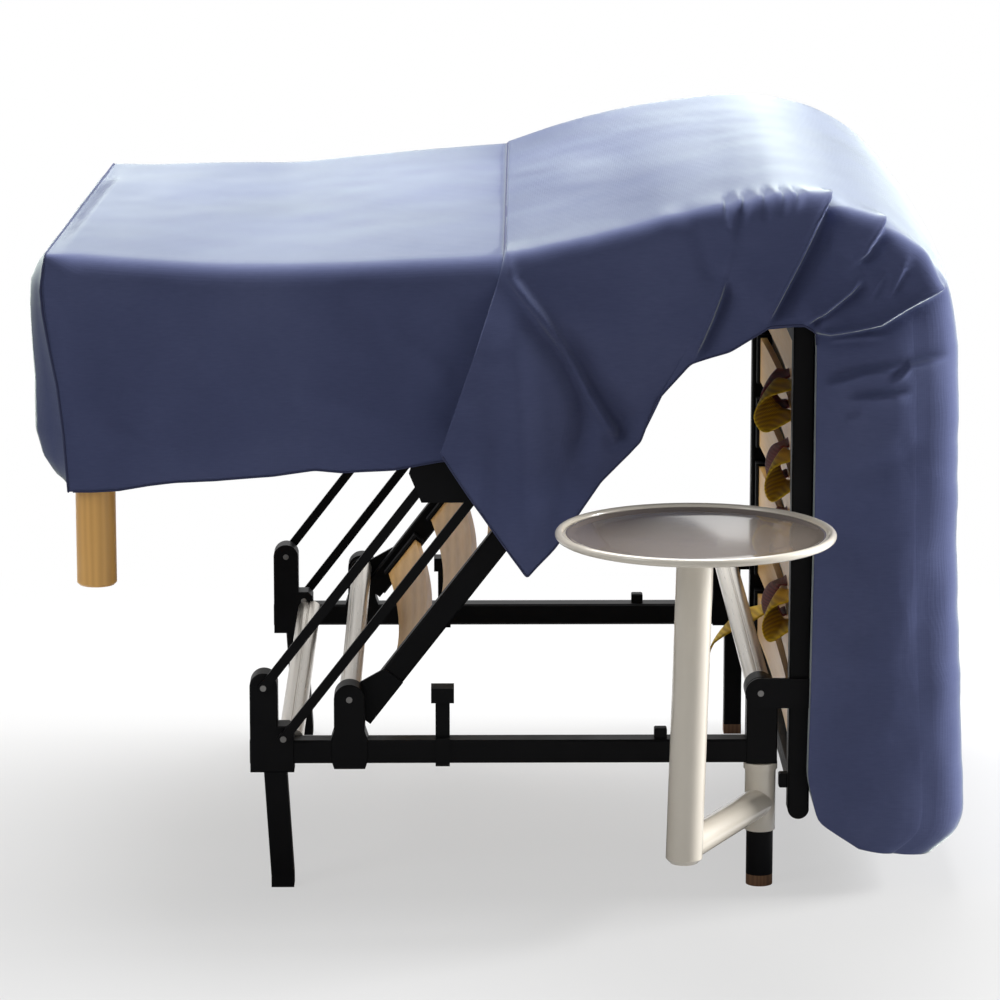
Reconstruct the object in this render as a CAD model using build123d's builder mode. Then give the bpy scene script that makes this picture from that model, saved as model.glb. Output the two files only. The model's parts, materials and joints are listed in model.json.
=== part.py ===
from build123d import *
from math import cos, hypot, radians, sin
import os

# An armchair that opens into a single bed, caught half way through the change.
# x runs from the foot of the bed to its head, y from the front of the picture to the rear, z up from the floor.
# Every length is in millimetres.

# Fits
fit = 0.1
pin_clearance = 0.05
soft_gap = 0.3
overrun = 5.0

# Base frame of square tube
rail_size = 30.0
rail_wall = 2.0
rail_corner = 2.5
rail_height = 177.0
rail_spacing = 770.0
rail_start = -316.0
rail_end = 311.0
edge_break = 1.5

# Brackets that grip the rails, each with a pivot in its rounded top
bracket_depth = 34.0
lift_bracket_width = 35.0
lift_bracket_drop = 11.0
lower_boss_radius = 13.0
panel_bracket_width = 39.0
panel_bracket_drop = 7.0
panel_bracket_flare = 47.0
panel_bracket_flare_height = 12.0
hinge_bracket_width = 39.0
hinge_bracket_drop = 1.0

# Pivots on the base
upper_pivot_x = -298.0
upper_pivot_z = 262.0
lower_pivot_x = -273.0
lower_pivot_z = 198.0
panel_pivot_x = -190.0
panel_pivot_z = 245.0
back_pivot_x = 328.0
back_pivot_z = 254.0
pin_radius = 4.0
pin_head_radius = 7.5
pin_head_height = 1.5

# Lifting links, all parallel and equally long between their pivots
link_length = 420.0
link_angle = 52.2
seat_down_angle = -8.4
bar_height = 12.0
bar_thickness = 6.0
bar_gap = 1.0
plane_gap = 2.0
bush_radius = 6.0
pin_sides = 12

# Legs
leg_size = 29.0
leg_rake = 3.4
leg_left_x = -284.0
leg_right_size = 25.0
leg_right_rear_x = 341.0
foot_height = 14.0
table_leg_x = 330.0
table_leg_stub_radius = 14.0
table_leg_radius = 17.0
table_leg_shoulder = 72.0

# Rests and pegs on the rails
post_x = -72.5
post_stem = 18.0
post_head = 29.0
post_head_height = 19.0
post_top = 259.0
clip_wall = 3.0
peg_x = 203.0
peg_size = 16.0
peg_height = 13.0

# Silver tubes from front to rear
tube_width = 32.0
tube_height = 22.0
tube_wall = 1.5
tube_groove = 1.5
left_tube_x = -265.0
left_tube_z = 187.0

# Middle panel, which hangs beside its pivots
panel_offset = 30.0
panel_rail_depth = 30.0
panel_rail_width = 20.0
panel_rail_start = -4.0
panel_rail_over = 22.0
ear_thickness = 4.0
ear_radius = 16.0
ear_reach = 52.0
panel_bar_place = 336.0
panel_bar_size = 20.0
panel_slat_places = (58.0, 156.0, 254.0)
panel_slat_bow = 26.0

# Slats of bent beech and their holders
slat_width = 62.0
slat_thickness = 9.0
holder_wall = 4.0
holder_depth = 24.0
holder_corner = 3.0

# Seat frame
seat_frame_bottom = 674.0
seat_rail_size = 30.0
seat_frame_left = -532.0
seat_frame_right = 82.0
lug_thickness = 4.0
lug_reach_left = 98.0
lug_reach_right = 23.5
lug_foot = 15.5
lug_rise = 10.0
lug_below = 27.0
tab_thickness = 3.0
tab_width = 26.0
seat_slat_count = 5
seat_slat_bow = 8.0
seat_leg_x = -505.0
seat_leg_y = 394.0
seat_leg_radius = 25.0
seat_leg_rounding = 3.0
floor_gap = 1.0

# Back panel
back_rail_left = 364.0
back_rail_width = 27.0
back_rail_depth = 30.0
back_rail_bottom = 102.5
back_rail_top = 720.0
hinge_arm_thickness = 6.0
hinge_arm_height = 38.0
back_bar_size = 20.0
back_bar_inset = 12.0
back_slat_count = 6
back_slat_bow = 6.0
stop_length = 11.0
stop_height = 18.0
stop_depth = 14.0
stop_low_z = 128.0
cap_wall = 3.0

# Webbing woven through the back slats
strap_width = 38.0
strap_thickness = 1.6
strap_y = -250.0
strap_pitch = 120.0
strap_low_z = 240.0
strap_high_z = 676.0

# Mattress, in three lengths. It lies twisted: each outline is listed as x and z on its front and rear edges
cover_clearance = 1.0
mattress_draw = 16.0
mattress_place_shares = (-1.0, -0.98, -0.93, -0.82, 0.0, 0.82, 0.93, 0.98, 1.0)
mattress_draw_shares = (1.0, 0.62, 0.28, 0.08, 0.0, 0.08, 0.28, 0.62, 1.0)
seat_foot_front = -553.0
seat_foot_rear = -533.0
seat_mattress_right = 8.0
seat_top_front = ((-99.0, 801.0), (-280.0, 795.0), (-467.0, 804.0), (seat_foot_front, 812.0))
seat_top_rear = ((-105.0, 838.0), (-275.0, 822.0), (-470.0, 818.0), (seat_foot_rear, 816.0))
seam_front_z = 806.0
seam_rear_z = 848.0
hump_front = (
    (138.0, 838.0), (208.0, 858.0), (275.0, 873.0), (342.0, 884.0),
    (430.0, 867.0), (500.0, 826.0), (551.0, 773.0), (566.0, 700.0),
)
hump_rear = (
    (150.0, 892.0), (215.0, 905.0), (289.0, 915.0), (365.0, 917.0),
    (445.0, 900.0), (520.0, 850.0), (582.0, 765.0), (596.0, 700.0),
)
head_front = ((566.0, 700.0), (572.0, 430.0), (586.0, 134.0), (582.0, 80.0), (549.0, 45.0), (454.0, 56.0), (402.0, 92.0))
head_rear = ((596.0, 700.0), (600.0, 430.0), (593.0, 134.0), (585.0, 80.0), (550.0, 45.0), (454.0, 56.0), (402.0, 92.0))
head_inner_bottom = 147.0

# Loose cover that hangs from the mattress
cover_thickness = 3.0
hem_height = 521.0
hem_rise = 41.0
skirt_top = 790.0
skirt_fold_end = -70.0
skirt_fold_count = 8
skirt_fold_depth = 4.0
foot_draw_front = 20.0
foot_bulge = 18.0
foot_bulge_least = 1.5
foot_edge_share = 0.07
foot_height_shares = (0.0, 0.15, 0.6, 1.0)
foot_bulge_shares = (0.1, 0.9, 1.0, 0.3)
flap_fold_depth = 16.0
flap_fold_least = 0.5
flap_heights = (806.0, 727.0, 681.0, 633.0, 562.0, 413.0)
flap_left_places = (8.0, -20.0, -36.0, -53.0, -66.0, 29.0)
flap_right_places = (364.0, 332.0, 234.0, 191.0, 150.0, 37.0)
flap_fold_shares = (0.0, 0.6, 1.0, 0.9, 0.7, 0.1)
flap_crest_share = 0.4

# Swivelling table
table_reach_x = -96.0
table_reach_y = -217.0
sleeve_radius = 19.5
sleeve_bottom = 72.0
sleeve_top = 152.0
ring_radius = 21.5
ring_height = 8.5
table_arm_radius = 19.0
table_arm_height = 108.0
post_radius = 22.5
post_bottom = 90.0
post_rounding = 6.0
post_lean = 11.0
post_neck = 5.0
tray_radius = 170.0
tray_floor = 3.0
tray_height = 505.0
tray_rim_radius = 5.0
tray_rim_sides = 6
tray_dish = 7.0
tray_flange = 14.0

front = 1
rear = -1
sides = (front, rear)
side_names = {front: "front", rear: "rear"}
half = 0.5

rail_y = rail_spacing / 2
bracket_inner = rail_y - bracket_depth / 2
bracket_outer = rail_y + bracket_depth / 2
upper_bar_inner = bracket_outer + bar_gap
lower_bar_inner = upper_bar_inner + bar_thickness + plane_gap
seat_rail_outer = lower_bar_inner + bar_thickness + plane_gap
back_rail_outer = bracket_outer + bar_gap
ear_outer = bracket_inner - plane_gap
tab_inner = ear_outer + soft_gap
rail_top = rail_height + rail_size / 2
rail_bottom = rail_height - rail_size / 2
lift_bracket_bottom = rail_bottom - lift_bracket_drop
panel_bracket_bottom = rail_bottom - panel_bracket_drop
hinge_bracket_bottom = rail_bottom - hinge_bracket_drop

rise = radians(link_angle)
link_run = link_length * cos(rise)
link_rise = link_length * sin(rise)
seat_drop = link_rise - link_length * sin(radians(seat_down_angle))
along = Vector(cos(rise), 0, sin(rise))
outward = Vector(sin(rise), 0, -cos(rise))
upper_head = (upper_pivot_x + link_run, upper_pivot_z + link_rise)
lower_head = (lower_pivot_x + link_run, lower_pivot_z + link_rise)
panel_head = (panel_pivot_x + link_run, panel_pivot_z + link_rise)
seat_frame_top = seat_frame_bottom + seat_rail_size
lug_outer = seat_rail_outer + lug_thickness
mattress_half_width = lug_outer + pin_head_height + cover_clearance

pieces = []


def keep(builder, name):
    """Name a finished piece and put it with the others."""
    builder.part.label = name
    pieces.append(builder.part)


def slab(side, inner, depth):
    """The upright plane from which a slab of this depth is extruded, inner millimetres out from the middle."""
    return Plane.XZ.offset(inner if side == front else -(inner + depth))


def outer_edges(builder, side):
    """The outline of the face that looks away from the middle of the bed."""
    order = builder.faces().sort_by(Axis.Y)
    face = order[0] if side == front else order[-1]
    return face.outer_wire().edges()


def rail_cut(side, start, length):
    """Cut the passage of a base rail, so that the piece grips the tube."""
    with BuildSketch(Plane.YZ.offset(start)) as passage:
        with Locations((-side * rail_y, rail_height)):
            Rectangle(rail_size + 2 * fit, rail_size + 2 * fit)
    extrude(passage.sketch, amount=length, mode=Mode.SUBTRACT)


def bore(side, inner, depth, *places, radius=pin_radius + pin_clearance):
    """Drill for pins that run from front to rear."""
    with BuildSketch(slab(side, inner, depth)) as holes:
        with Locations(*places):
            Circle(radius)
    extrude(holes.sketch, amount=depth, mode=Mode.SUBTRACT)


def square_tube(plane, width, height, wall, corner, length):
    """A square tube that runs this far along the normal of its plane, with its corners broken."""
    with BuildSketch(plane) as section:
        Rectangle(width, height)
        chamfer(section.vertices(), corner)
        Rectangle(width - 2 * wall, height - 2 * wall, mode=Mode.SUBTRACT)
    extrude(section.sketch, amount=length)


# Base rails
for side in sides:
    with BuildPart() as rail:
        square_tube(
            Plane(origin=(rail_start, -side * rail_y, rail_height), x_dir=(0, 1, 0), z_dir=(1, 0, 0)),
            rail_size, rail_size, rail_wall, rail_corner, rail_end - rail_start,
        )
        bore(side, bracket_inner, bracket_depth, (lower_pivot_x, lower_pivot_z))
    keep(rail, f"base_rail_{side_names[side]}")

# Lifting brackets, each with a round top for the upper link and a boss for the lower one
for side in sides:
    with BuildPart() as lift_bracket:
        with BuildSketch(slab(side, bracket_inner, bracket_depth)):
            with Locations((upper_pivot_x, (upper_pivot_z + lift_bracket_bottom) / 2)):
                Rectangle(lift_bracket_width, upper_pivot_z - lift_bracket_bottom)
            with Locations((upper_pivot_x, upper_pivot_z)):
                Circle(lift_bracket_width / 2)
            with BuildLine():
                boss_right = lower_pivot_x + lower_boss_radius
                boss_top = lower_pivot_z + lower_boss_radius
                Polyline(
                    (upper_pivot_x, lift_bracket_bottom),
                    (boss_right, lift_bracket_bottom),
                    (boss_right, boss_top - lower_boss_radius / 2),
                    (boss_right - lower_boss_radius / 2, boss_top),
                    (upper_pivot_x, boss_top),
                    close=True,
                )
            make_face()
        extrude(amount=bracket_depth)
        chamfer(outer_edges(lift_bracket, side), edge_break)
        rail_cut(side, rail_start, lower_pivot_x + lower_boss_radius + overrun - rail_start)
        bore(side, bracket_inner, bracket_depth, (upper_pivot_x, upper_pivot_z), (lower_pivot_x, lower_pivot_z))
    keep(lift_bracket, f"lift_bracket_{side_names[side]}")

# Panel brackets, flared where they clip round the rail
for side in sides:
    with BuildPart() as panel_bracket:
        with BuildSketch(slab(side, bracket_inner, bracket_depth)):
            with Locations((panel_pivot_x, (panel_pivot_z + panel_bracket_bottom) / 2)):
                Rectangle(panel_bracket_width, panel_pivot_z - panel_bracket_bottom)
            with Locations((panel_pivot_x, panel_pivot_z)):
                Circle(panel_bracket_width / 2)
            with BuildLine():
                flare = panel_bracket_flare / 2
                waist = panel_bracket_width / 2
                top = panel_bracket_bottom + panel_bracket_flare_height
                Polyline(
                    (panel_pivot_x - waist, panel_bracket_bottom),
                    (panel_pivot_x + waist, panel_bracket_bottom),
                    (panel_pivot_x + flare, top),
                    (panel_pivot_x + flare, rail_top),
                    (panel_pivot_x + waist, rail_top + panel_bracket_flare_height),
                    (panel_pivot_x - waist, rail_top + panel_bracket_flare_height),
                    (panel_pivot_x - flare, rail_top),
                    (panel_pivot_x - flare, top),
                    close=True,
                )
            make_face()
        extrude(amount=bracket_depth)
        chamfer(outer_edges(panel_bracket, side), edge_break)
        rail_cut(side, panel_pivot_x - panel_bracket_flare, 2 * panel_bracket_flare)
        bore(side, bracket_inner, bracket_depth, (panel_pivot_x, panel_pivot_z))
    keep(panel_bracket, f"panel_bracket_{side_names[side]}")

# Hinge brackets of the back, which close the right ends of the rails
hinge_bracket_centre = rail_end + hinge_bracket_width / 2
for side in sides:
    with BuildPart() as hinge_bracket:
        with BuildSketch(slab(side, bracket_inner, bracket_depth)):
            with Locations((hinge_bracket_centre, (back_pivot_z + hinge_bracket_bottom) / 2)):
                Rectangle(hinge_bracket_width, back_pivot_z - hinge_bracket_bottom)
            with Locations((back_pivot_x, back_pivot_z)):
                Circle(hinge_bracket_width / 2)
        extrude(amount=bracket_depth)
        chamfer(outer_edges(hinge_bracket, side), edge_break)
        bore(side, bracket_inner, bracket_depth, (back_pivot_x, back_pivot_z))
    keep(hinge_bracket, f"hinge_bracket_{side_names[side]}")

# Left legs, raked towards the head of the bed
leg_run = (lift_bracket_bottom - foot_height) * sin(radians(leg_rake))
for side in sides:
    with BuildPart() as leg_left:
        with BuildSketch(Plane.XY.offset(lift_bracket_bottom)):
            with Locations((leg_left_x, -side * rail_y)):
                RectangleRounded(leg_size, leg_size, rail_corner)
        with BuildSketch(Plane.XY.offset(foot_height)):
            with Locations((leg_left_x + leg_run, -side * rail_y)):
                RectangleRounded(leg_size, leg_size, rail_corner)
        loft()
    keep(leg_left, f"leg_left_{side_names[side]}")

# The right front leg is turned down to a stub, on which the table swivels
with BuildPart() as leg_right_front:
    with BuildSketch(Plane.XY.offset(foot_height)):
        with Locations((table_leg_x, -rail_y)):
            Circle(table_leg_radius)
    extrude(amount=table_leg_shoulder - foot_height)
    with BuildSketch(Plane.XY.offset(table_leg_shoulder)):
        with Locations((table_leg_x, -rail_y)):
            Circle(table_leg_stub_radius)
    extrude(amount=hinge_bracket_bottom - table_leg_shoulder)
keep(leg_right_front, "leg_right_front")

with BuildPart() as leg_right_rear:
    with BuildSketch(Plane.XY.offset(foot_height)):
        with Locations((leg_right_rear_x, rail_y)):
            RectangleRounded(leg_right_size, leg_right_size, rail_corner)
    extrude(amount=hinge_bracket_bottom - foot_height)
keep(leg_right_rear, "leg_right_rear")

# Glides under the left legs, and wooden blocks under the right ones
with BuildPart() as foot_glides:
    with BuildSketch():
        with Locations((leg_left_x + leg_run, -rail_y), (leg_left_x + leg_run, rail_y)):
            Rectangle(leg_size - 2 * fit, leg_size - 2 * fit)
    extrude(amount=foot_height)
keep(foot_glides, "foot_glides")

with BuildPart() as foot_blocks:
    with BuildSketch():
        with Locations((table_leg_x, -rail_y)):
            Circle(table_leg_radius)
        with Locations((leg_right_rear_x, rail_y)):
            Rectangle(leg_right_size, leg_right_size)
    extrude(amount=foot_height)
keep(foot_blocks, "foot_blocks")

# Square headed rests that clip round the rails
with BuildPart() as rest_posts:
    for side in sides:
        with BuildSketch(Plane.XY.offset(rail_bottom - clip_wall)):
            with Locations((post_x, -side * rail_y)):
                Rectangle(post_stem, rail_size + 2 * clip_wall)
        extrude(amount=rail_size + 2 * clip_wall)
        with BuildSketch(Plane.XY.offset(rail_top + clip_wall)):
            with Locations((post_x, -side * rail_y)):
                Rectangle(post_stem, post_stem)
        extrude(amount=post_top - post_head_height - rail_top - clip_wall)
        with BuildSketch(Plane.XY.offset(post_top - post_head_height)):
            with Locations((post_x, -side * rail_y)):
                Rectangle(post_head, post_head)
        extrude(amount=post_head_height)
        rail_cut(side, post_x - post_stem, 2 * post_stem)
keep(rest_posts, "rest_posts")

with BuildPart() as rail_pegs:
    with BuildSketch(Plane.XY.offset(rail_top)):
        with Locations((peg_x, -rail_y), (peg_x, rail_y)):
            Rectangle(peg_size, peg_size)
    extrude(amount=peg_height)
    chamfer(rail_pegs.faces().group_by(Axis.Z)[-1].edges(), edge_break)
keep(rail_pegs, "rail_pegs")


def oval_tube(x, z, tilt, reach):
    """A flattened tube from front to rear with a groove along each broad face."""
    with BuildSketch(Plane.XZ.offset(-reach)) as section:
        with Locations(Location((x, z), tilt)):
            SlotOverall(tube_width, tube_height)
            with Locations((0, tube_height / 2), (0, -tube_height / 2)):
                Circle(tube_groove, mode=Mode.SUBTRACT)
            Rectangle(tube_width - tube_height, tube_height - 2 * tube_wall - 2 * tube_groove, mode=Mode.SUBTRACT)
    extrude(section.sketch, amount=2 * reach)


with BuildPart() as cross_tube_left:
    oval_tube(left_tube_x, left_tube_z, 0, bracket_inner)
keep(cross_tube_left, "cross_tube_left")

with BuildPart() as cross_tube_right:
    oval_tube(back_pivot_x, back_pivot_z, 0, bracket_inner)
keep(cross_tube_right, "cross_tube_right")

def pin(side, inner, outer, place, radius):
    """A short round bar between two planes, inner and outer millimetres out from the middle."""
    with BuildSketch(slab(side, inner, outer - inner)) as end:
        with Locations(place):
            RegularPolygon(radius, pin_sides)
    extrude(end.sketch, amount=outer - inner)


# Pins on the base: the upper one stops flush, so that the lower bar can pass over it
with BuildPart() as base_pins:
    for side in sides:
        pin(side, bracket_inner, upper_bar_inner + bar_thickness, (upper_pivot_x, upper_pivot_z), pin_radius)
        pin(side, bracket_inner, lower_bar_inner + bar_thickness, (lower_pivot_x, lower_pivot_z), pin_radius)
        pin(side, bracket_outer, lower_bar_inner, (lower_pivot_x, lower_pivot_z), bush_radius)
        pin(side, bracket_inner, back_rail_outer + hinge_arm_thickness, (back_pivot_x, back_pivot_z), pin_radius)
        pin(side, ear_outer - ear_thickness, bracket_outer, (panel_pivot_x, panel_pivot_z), pin_radius)
keep(base_pins, "base_pins")


def link(side, inner, foot, head, name):
    """A flat bar with round ends, bored at both pivots."""
    middle = ((foot[0] + head[0]) / 2, (foot[1] + head[1]) / 2)
    with BuildPart() as bar:
        with BuildSketch(slab(side, inner, bar_thickness)):
            with Locations(middle):
                SlotCenterToCenter(link_length, bar_height, rotation=link_angle)
            with Locations(foot, head):
                Circle(pin_radius + pin_clearance, mode=Mode.SUBTRACT)
        extrude(amount=bar_thickness)
    keep(bar, f"{name}_{side_names[side]}")


for side in sides:
    link(side, upper_bar_inner, (upper_pivot_x, upper_pivot_z), upper_head, "lift_arm_upper")
    link(side, lower_bar_inner, (lower_pivot_x, lower_pivot_z), lower_head, "lift_arm_lower")


def panel_point(distance, drop):
    """A place on the middle panel, this far up from its pivot and this far below the line of its pivots."""
    return Vector(panel_pivot_x, 0, panel_pivot_z) + along * distance + outward * drop


# Rails of the middle panel
panel_rail_length = link_length - panel_rail_start + panel_rail_over
panel_rail_outer = ear_outer - ear_thickness
panel_rail_inner = panel_rail_outer - panel_rail_width
for side in sides:
    foot = panel_point(panel_rail_start, panel_offset)
    with BuildPart() as panel_rail:
        square_tube(
            Plane(
                origin=(foot.X, -side * (panel_rail_inner + panel_rail_width / 2), foot.Z),
                x_dir=(0, 1, 0),
                z_dir=along,
            ),
            panel_rail_width, panel_rail_depth, rail_wall, rail_corner, panel_rail_length,
        )
    keep(panel_rail, f"panel_rail_{side_names[side]}")

# Ears that hold the panel beside its pivots
rail_near = panel_offset - panel_rail_depth / 2
rail_far = panel_offset + panel_rail_depth / 2
with BuildPart() as panel_ears:
    for side in sides:
        for distance, way in ((0, 1), (link_length, -1)):
            corners = [
                panel_point(distance - way * ear_radius, 0),
                panel_point(distance - way * ear_radius, rail_far),
                panel_point(distance + way * ear_reach, rail_far),
                panel_point(distance + way * ear_reach, rail_near),
                panel_point(distance + way * ear_radius, 0),
            ]
            pivot = panel_point(distance, 0)
            with BuildSketch(slab(side, panel_rail_outer, ear_thickness)):
                with BuildLine():
                    Polyline(*[(corner.X, corner.Z) for corner in corners], close=True)
                make_face()
                with Locations((pivot.X, pivot.Z)):
                    Circle(ear_radius)
                    Circle(pin_radius + pin_clearance, mode=Mode.SUBTRACT)
            extrude(amount=ear_thickness)
keep(panel_ears, "panel_ears")

with BuildPart() as panel_cross_tube:
    oval_tube(panel_pivot_x, panel_pivot_z, link_angle, panel_rail_outer)
keep(panel_cross_tube, "panel_cross_tube")

bar_middle = panel_point(panel_bar_place, panel_offset)
with BuildPart() as panel_cross_bar:
    square_tube(
        Plane(origin=(bar_middle.X, -panel_rail_inner, bar_middle.Z), x_dir=along, z_dir=(0, 1, 0)),
        panel_bar_size, panel_bar_size, rail_wall, rail_corner, 2 * panel_rail_inner,
    )
keep(panel_cross_bar, "panel_cross_bar")


def slat_plane(place, bow_way):
    """The plane of a slat's arc: its x runs from front to rear and its y along the bow."""
    return Plane(origin=place, x_dir=(0, 1, 0), z_dir=Vector(0, 1, 0).cross(bow_way))


def slat_band(plane, reach, bow, thickness, width, mode=Mode.ADD):
    """A strip bent to an arc that stands out by its bow half way."""
    with BuildSketch(plane) as strip:
        with BuildLine():
            low = ThreePointArc((-reach, -thickness / 2), (0, bow - thickness / 2), (reach, -thickness / 2))
            high = ThreePointArc((-reach, thickness / 2), (0, bow + thickness / 2), (reach, thickness / 2))
            Line(low @ 0, high @ 0)
            Line(low @ 1, high @ 1)
        make_face()
    extrude(strip.sketch, amount=width / 2, both=True, mode=mode)


def slatted(places, bow_way, reach, bow, name, holder_name):
    """Bent slats that reach from rail to rail, and the holders that take their ends."""
    with BuildPart() as slats:
        for place in places:
            slat_band(slat_plane(place, bow_way), reach - holder_wall, bow, slat_thickness, slat_width)
    keep(slats, name)
    lift = bow * (1 - (1 - holder_depth / reach) ** 2) * half
    with BuildPart() as holders:
        for place in places:
            plane = slat_plane(place, bow_way)
            for end in sides:
                with BuildSketch(plane.offset(-slat_width / 2 - holder_wall)) as block:
                    with Locations((-end * (reach - holder_depth / 2), lift)):
                        Rectangle(holder_depth, slat_thickness + 2 * holder_wall)
                    chamfer(block.vertices(), holder_corner)
                extrude(amount=slat_width + 2 * holder_wall)
        for place in places:
            slat_band(
                slat_plane(place, bow_way), reach - holder_wall + fit, bow,
                slat_thickness + 2 * fit, slat_width + 2 * fit, Mode.SUBTRACT,
            )
    keep(holders, holder_name)


panel_slat_points = [panel_point(distance, panel_offset) for distance in panel_slat_places]
slatted(panel_slat_points, outward, panel_rail_inner, panel_slat_bow, "panel_slats", "panel_slat_holders")

# Seat frame
seat_rail_middle = seat_rail_outer - seat_rail_size / 2
seat_rail_inner = seat_rail_outer - seat_rail_size
seat_middle_z = seat_frame_bottom + seat_rail_size / 2
for side in sides:
    with BuildPart() as seat_rail:
        square_tube(
            Plane(origin=(seat_frame_left, -side * seat_rail_middle, seat_middle_z), x_dir=(0, 1, 0), z_dir=(1, 0, 0)),
            seat_rail_size, seat_rail_size, rail_wall, rail_corner, seat_frame_right - seat_frame_left,
        )
    keep(seat_rail, f"seat_rail_{side_names[side]}")

with BuildPart() as seat_cross_rails:
    for x in (seat_frame_left + seat_rail_size / 2, seat_frame_right - seat_rail_size / 2):
        square_tube(
            Plane(origin=(x, -seat_rail_inner, seat_middle_z), x_dir=(1, 0, 0), z_dir=(0, 1, 0)),
            seat_rail_size, seat_rail_size, rail_wall, rail_corner, 2 * seat_rail_inner,
        )
keep(seat_cross_rails, "seat_cross_rails")

# Plates that hang from the seat rails and carry the heads of both links
with BuildPart() as seat_lugs:
    for side in sides:
        with BuildSketch(slab(side, seat_rail_outer, lug_thickness)):
            with BuildLine():
                Polyline(
                    (lower_head[0] - lug_reach_left, lower_head[1] + lug_rise),
                    (lower_head[0] - lug_reach_left + lug_foot, lower_head[1] - lug_below),
                    (lower_head[0] + lug_reach_right, lower_head[1] - lug_below),
                    (lower_head[0] + lug_reach_right, lower_head[1] + lug_rise),
                    (upper_head[0] + seat_rail_size, seat_frame_bottom),
                    (upper_head[0] + seat_rail_size, seat_frame_top),
                    (upper_head[0] - seat_rail_size, seat_frame_top),
                    (upper_head[0] - seat_rail_size, seat_frame_bottom),
                    close=True,
                )
            make_face()
            with Locations(upper_head, lower_head):
                Circle(pin_radius + pin_clearance, mode=Mode.SUBTRACT)
        extrude(amount=lug_thickness)
keep(seat_lugs, "seat_lugs")

# Tabs under the right cross rail that meet the ears of the middle panel
with BuildPart() as seat_tabs:
    for side in sides:
        with BuildSketch(slab(side, tab_inner, tab_thickness)):
            with Locations((panel_head[0], (panel_head[1] + seat_frame_bottom) / 2)):
                Rectangle(tab_width, seat_frame_bottom - panel_head[1])
            with Locations(panel_head):
                Circle(tab_width / 2)
                Circle(pin_radius + pin_clearance, mode=Mode.SUBTRACT)
        extrude(amount=tab_thickness)
keep(seat_tabs, "seat_tabs")

with BuildPart() as seat_pins:
    for side in sides:
        pin(side, upper_bar_inner, lug_outer, upper_head, pin_radius)
        pin(side, upper_bar_inner + bar_thickness, seat_rail_outer, upper_head, bush_radius)
        pin(side, lower_bar_inner, lug_outer, lower_head, pin_radius)
        pin(side, panel_rail_outer, tab_inner + tab_thickness, panel_head, pin_radius)
        pin(side, lug_outer, lug_outer + pin_head_height, upper_head, pin_head_radius)
        pin(side, lug_outer, lug_outer + pin_head_height, lower_head, pin_head_radius)
keep(seat_pins, "seat_pins")

seat_slat_pitch = (seat_frame_right - seat_frame_left - 2 * seat_rail_size) / seat_slat_count
seat_slat_points = [
    Vector(seat_frame_left + seat_rail_size + (n + half) * seat_slat_pitch, 0, seat_middle_z)
    for n in range(seat_slat_count)
]
slatted(seat_slat_points, Vector(0, 0, 1), seat_rail_inner, seat_slat_bow, "seat_slats", "seat_slat_holders")

# Turned beech legs at the foot of the bed, which reach the floor when the seat is down on either side
for side in sides:
    with BuildPart() as seat_leg:
        with BuildSketch(Plane.XY.offset(seat_drop + floor_gap)):
            with Locations((seat_leg_x, -side * seat_leg_y)):
                Circle(seat_leg_radius)
        extrude(amount=seat_frame_bottom - seat_drop - floor_gap)
        chamfer(seat_leg.edges().group_by(Axis.Z)[0], seat_leg_rounding)
    keep(seat_leg, f"seat_leg_{side_names[side]}")

# Back panel
back_rail_middle_x = back_rail_left + back_rail_width / 2
back_rail_inner = back_rail_outer - back_rail_depth
back_rail_y = back_rail_outer - back_rail_depth / 2
for side in sides:
    with BuildPart() as back_rail:
        square_tube(
            Plane.XY.offset(back_rail_bottom).shift_origin((back_rail_middle_x, -side * back_rail_y, back_rail_bottom)),
            back_rail_width, back_rail_depth, rail_wall, rail_corner, back_rail_top - back_rail_bottom,
        )
    keep(back_rail, f"back_rail_{side_names[side]}")

# Round plastic caps that close the low ends of the back rails
cap_width = back_rail_width - 2 * rail_wall - 2 * fit
cap_depth = back_rail_depth - 2 * rail_wall - 2 * fit
with BuildPart() as back_rail_caps:
    for side in sides:
        with BuildSketch(slab(side, back_rail_inner, back_rail_depth)):
            with BuildLine():
                rim = (back_rail_middle_x - back_rail_width / 2, back_rail_bottom)
                far_rim = (back_rail_middle_x + back_rail_width / 2, back_rail_bottom)
                ThreePointArc(rim, (back_rail_middle_x, back_rail_bottom - back_rail_width / 2), far_rim)
                Line(far_rim, rim)
            make_face()
        extrude(amount=back_rail_depth)
        with BuildSketch(Plane.XY.offset(back_rail_bottom)):
            with Locations((back_rail_middle_x, -side * back_rail_y)):
                Rectangle(cap_width, cap_depth)
        extrude(amount=cap_wall)
keep(back_rail_caps, "back_rail_caps")

with BuildPart() as back_hinge_arms:
    for side in sides:
        with BuildSketch(slab(side, back_rail_outer, hinge_arm_thickness)):
            with Locations((back_pivot_x, back_pivot_z)):
                Circle(hinge_bracket_width / 2)
            with Locations(((back_pivot_x + back_rail_left + back_rail_width) / 2, back_pivot_z)):
                Rectangle(back_rail_left + back_rail_width - back_pivot_x, hinge_arm_height)
            with Locations((back_pivot_x, back_pivot_z)):
                Circle(pin_radius + pin_clearance, mode=Mode.SUBTRACT)
        extrude(amount=hinge_arm_thickness)
keep(back_hinge_arms, "back_hinge_arms")

with BuildPart() as back_cross_bars:
    for z in (back_rail_bottom + back_bar_inset + back_bar_size / 2, back_rail_top - back_bar_inset - back_bar_size / 2):
        square_tube(
            Plane(origin=(back_rail_middle_x, -back_rail_inner, z), x_dir=(1, 0, 0), z_dir=(0, 1, 0)),
            back_bar_size, back_bar_size, rail_wall, rail_corner, 2 * back_rail_inner,
        )
keep(back_cross_bars, "back_cross_bars")

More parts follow.
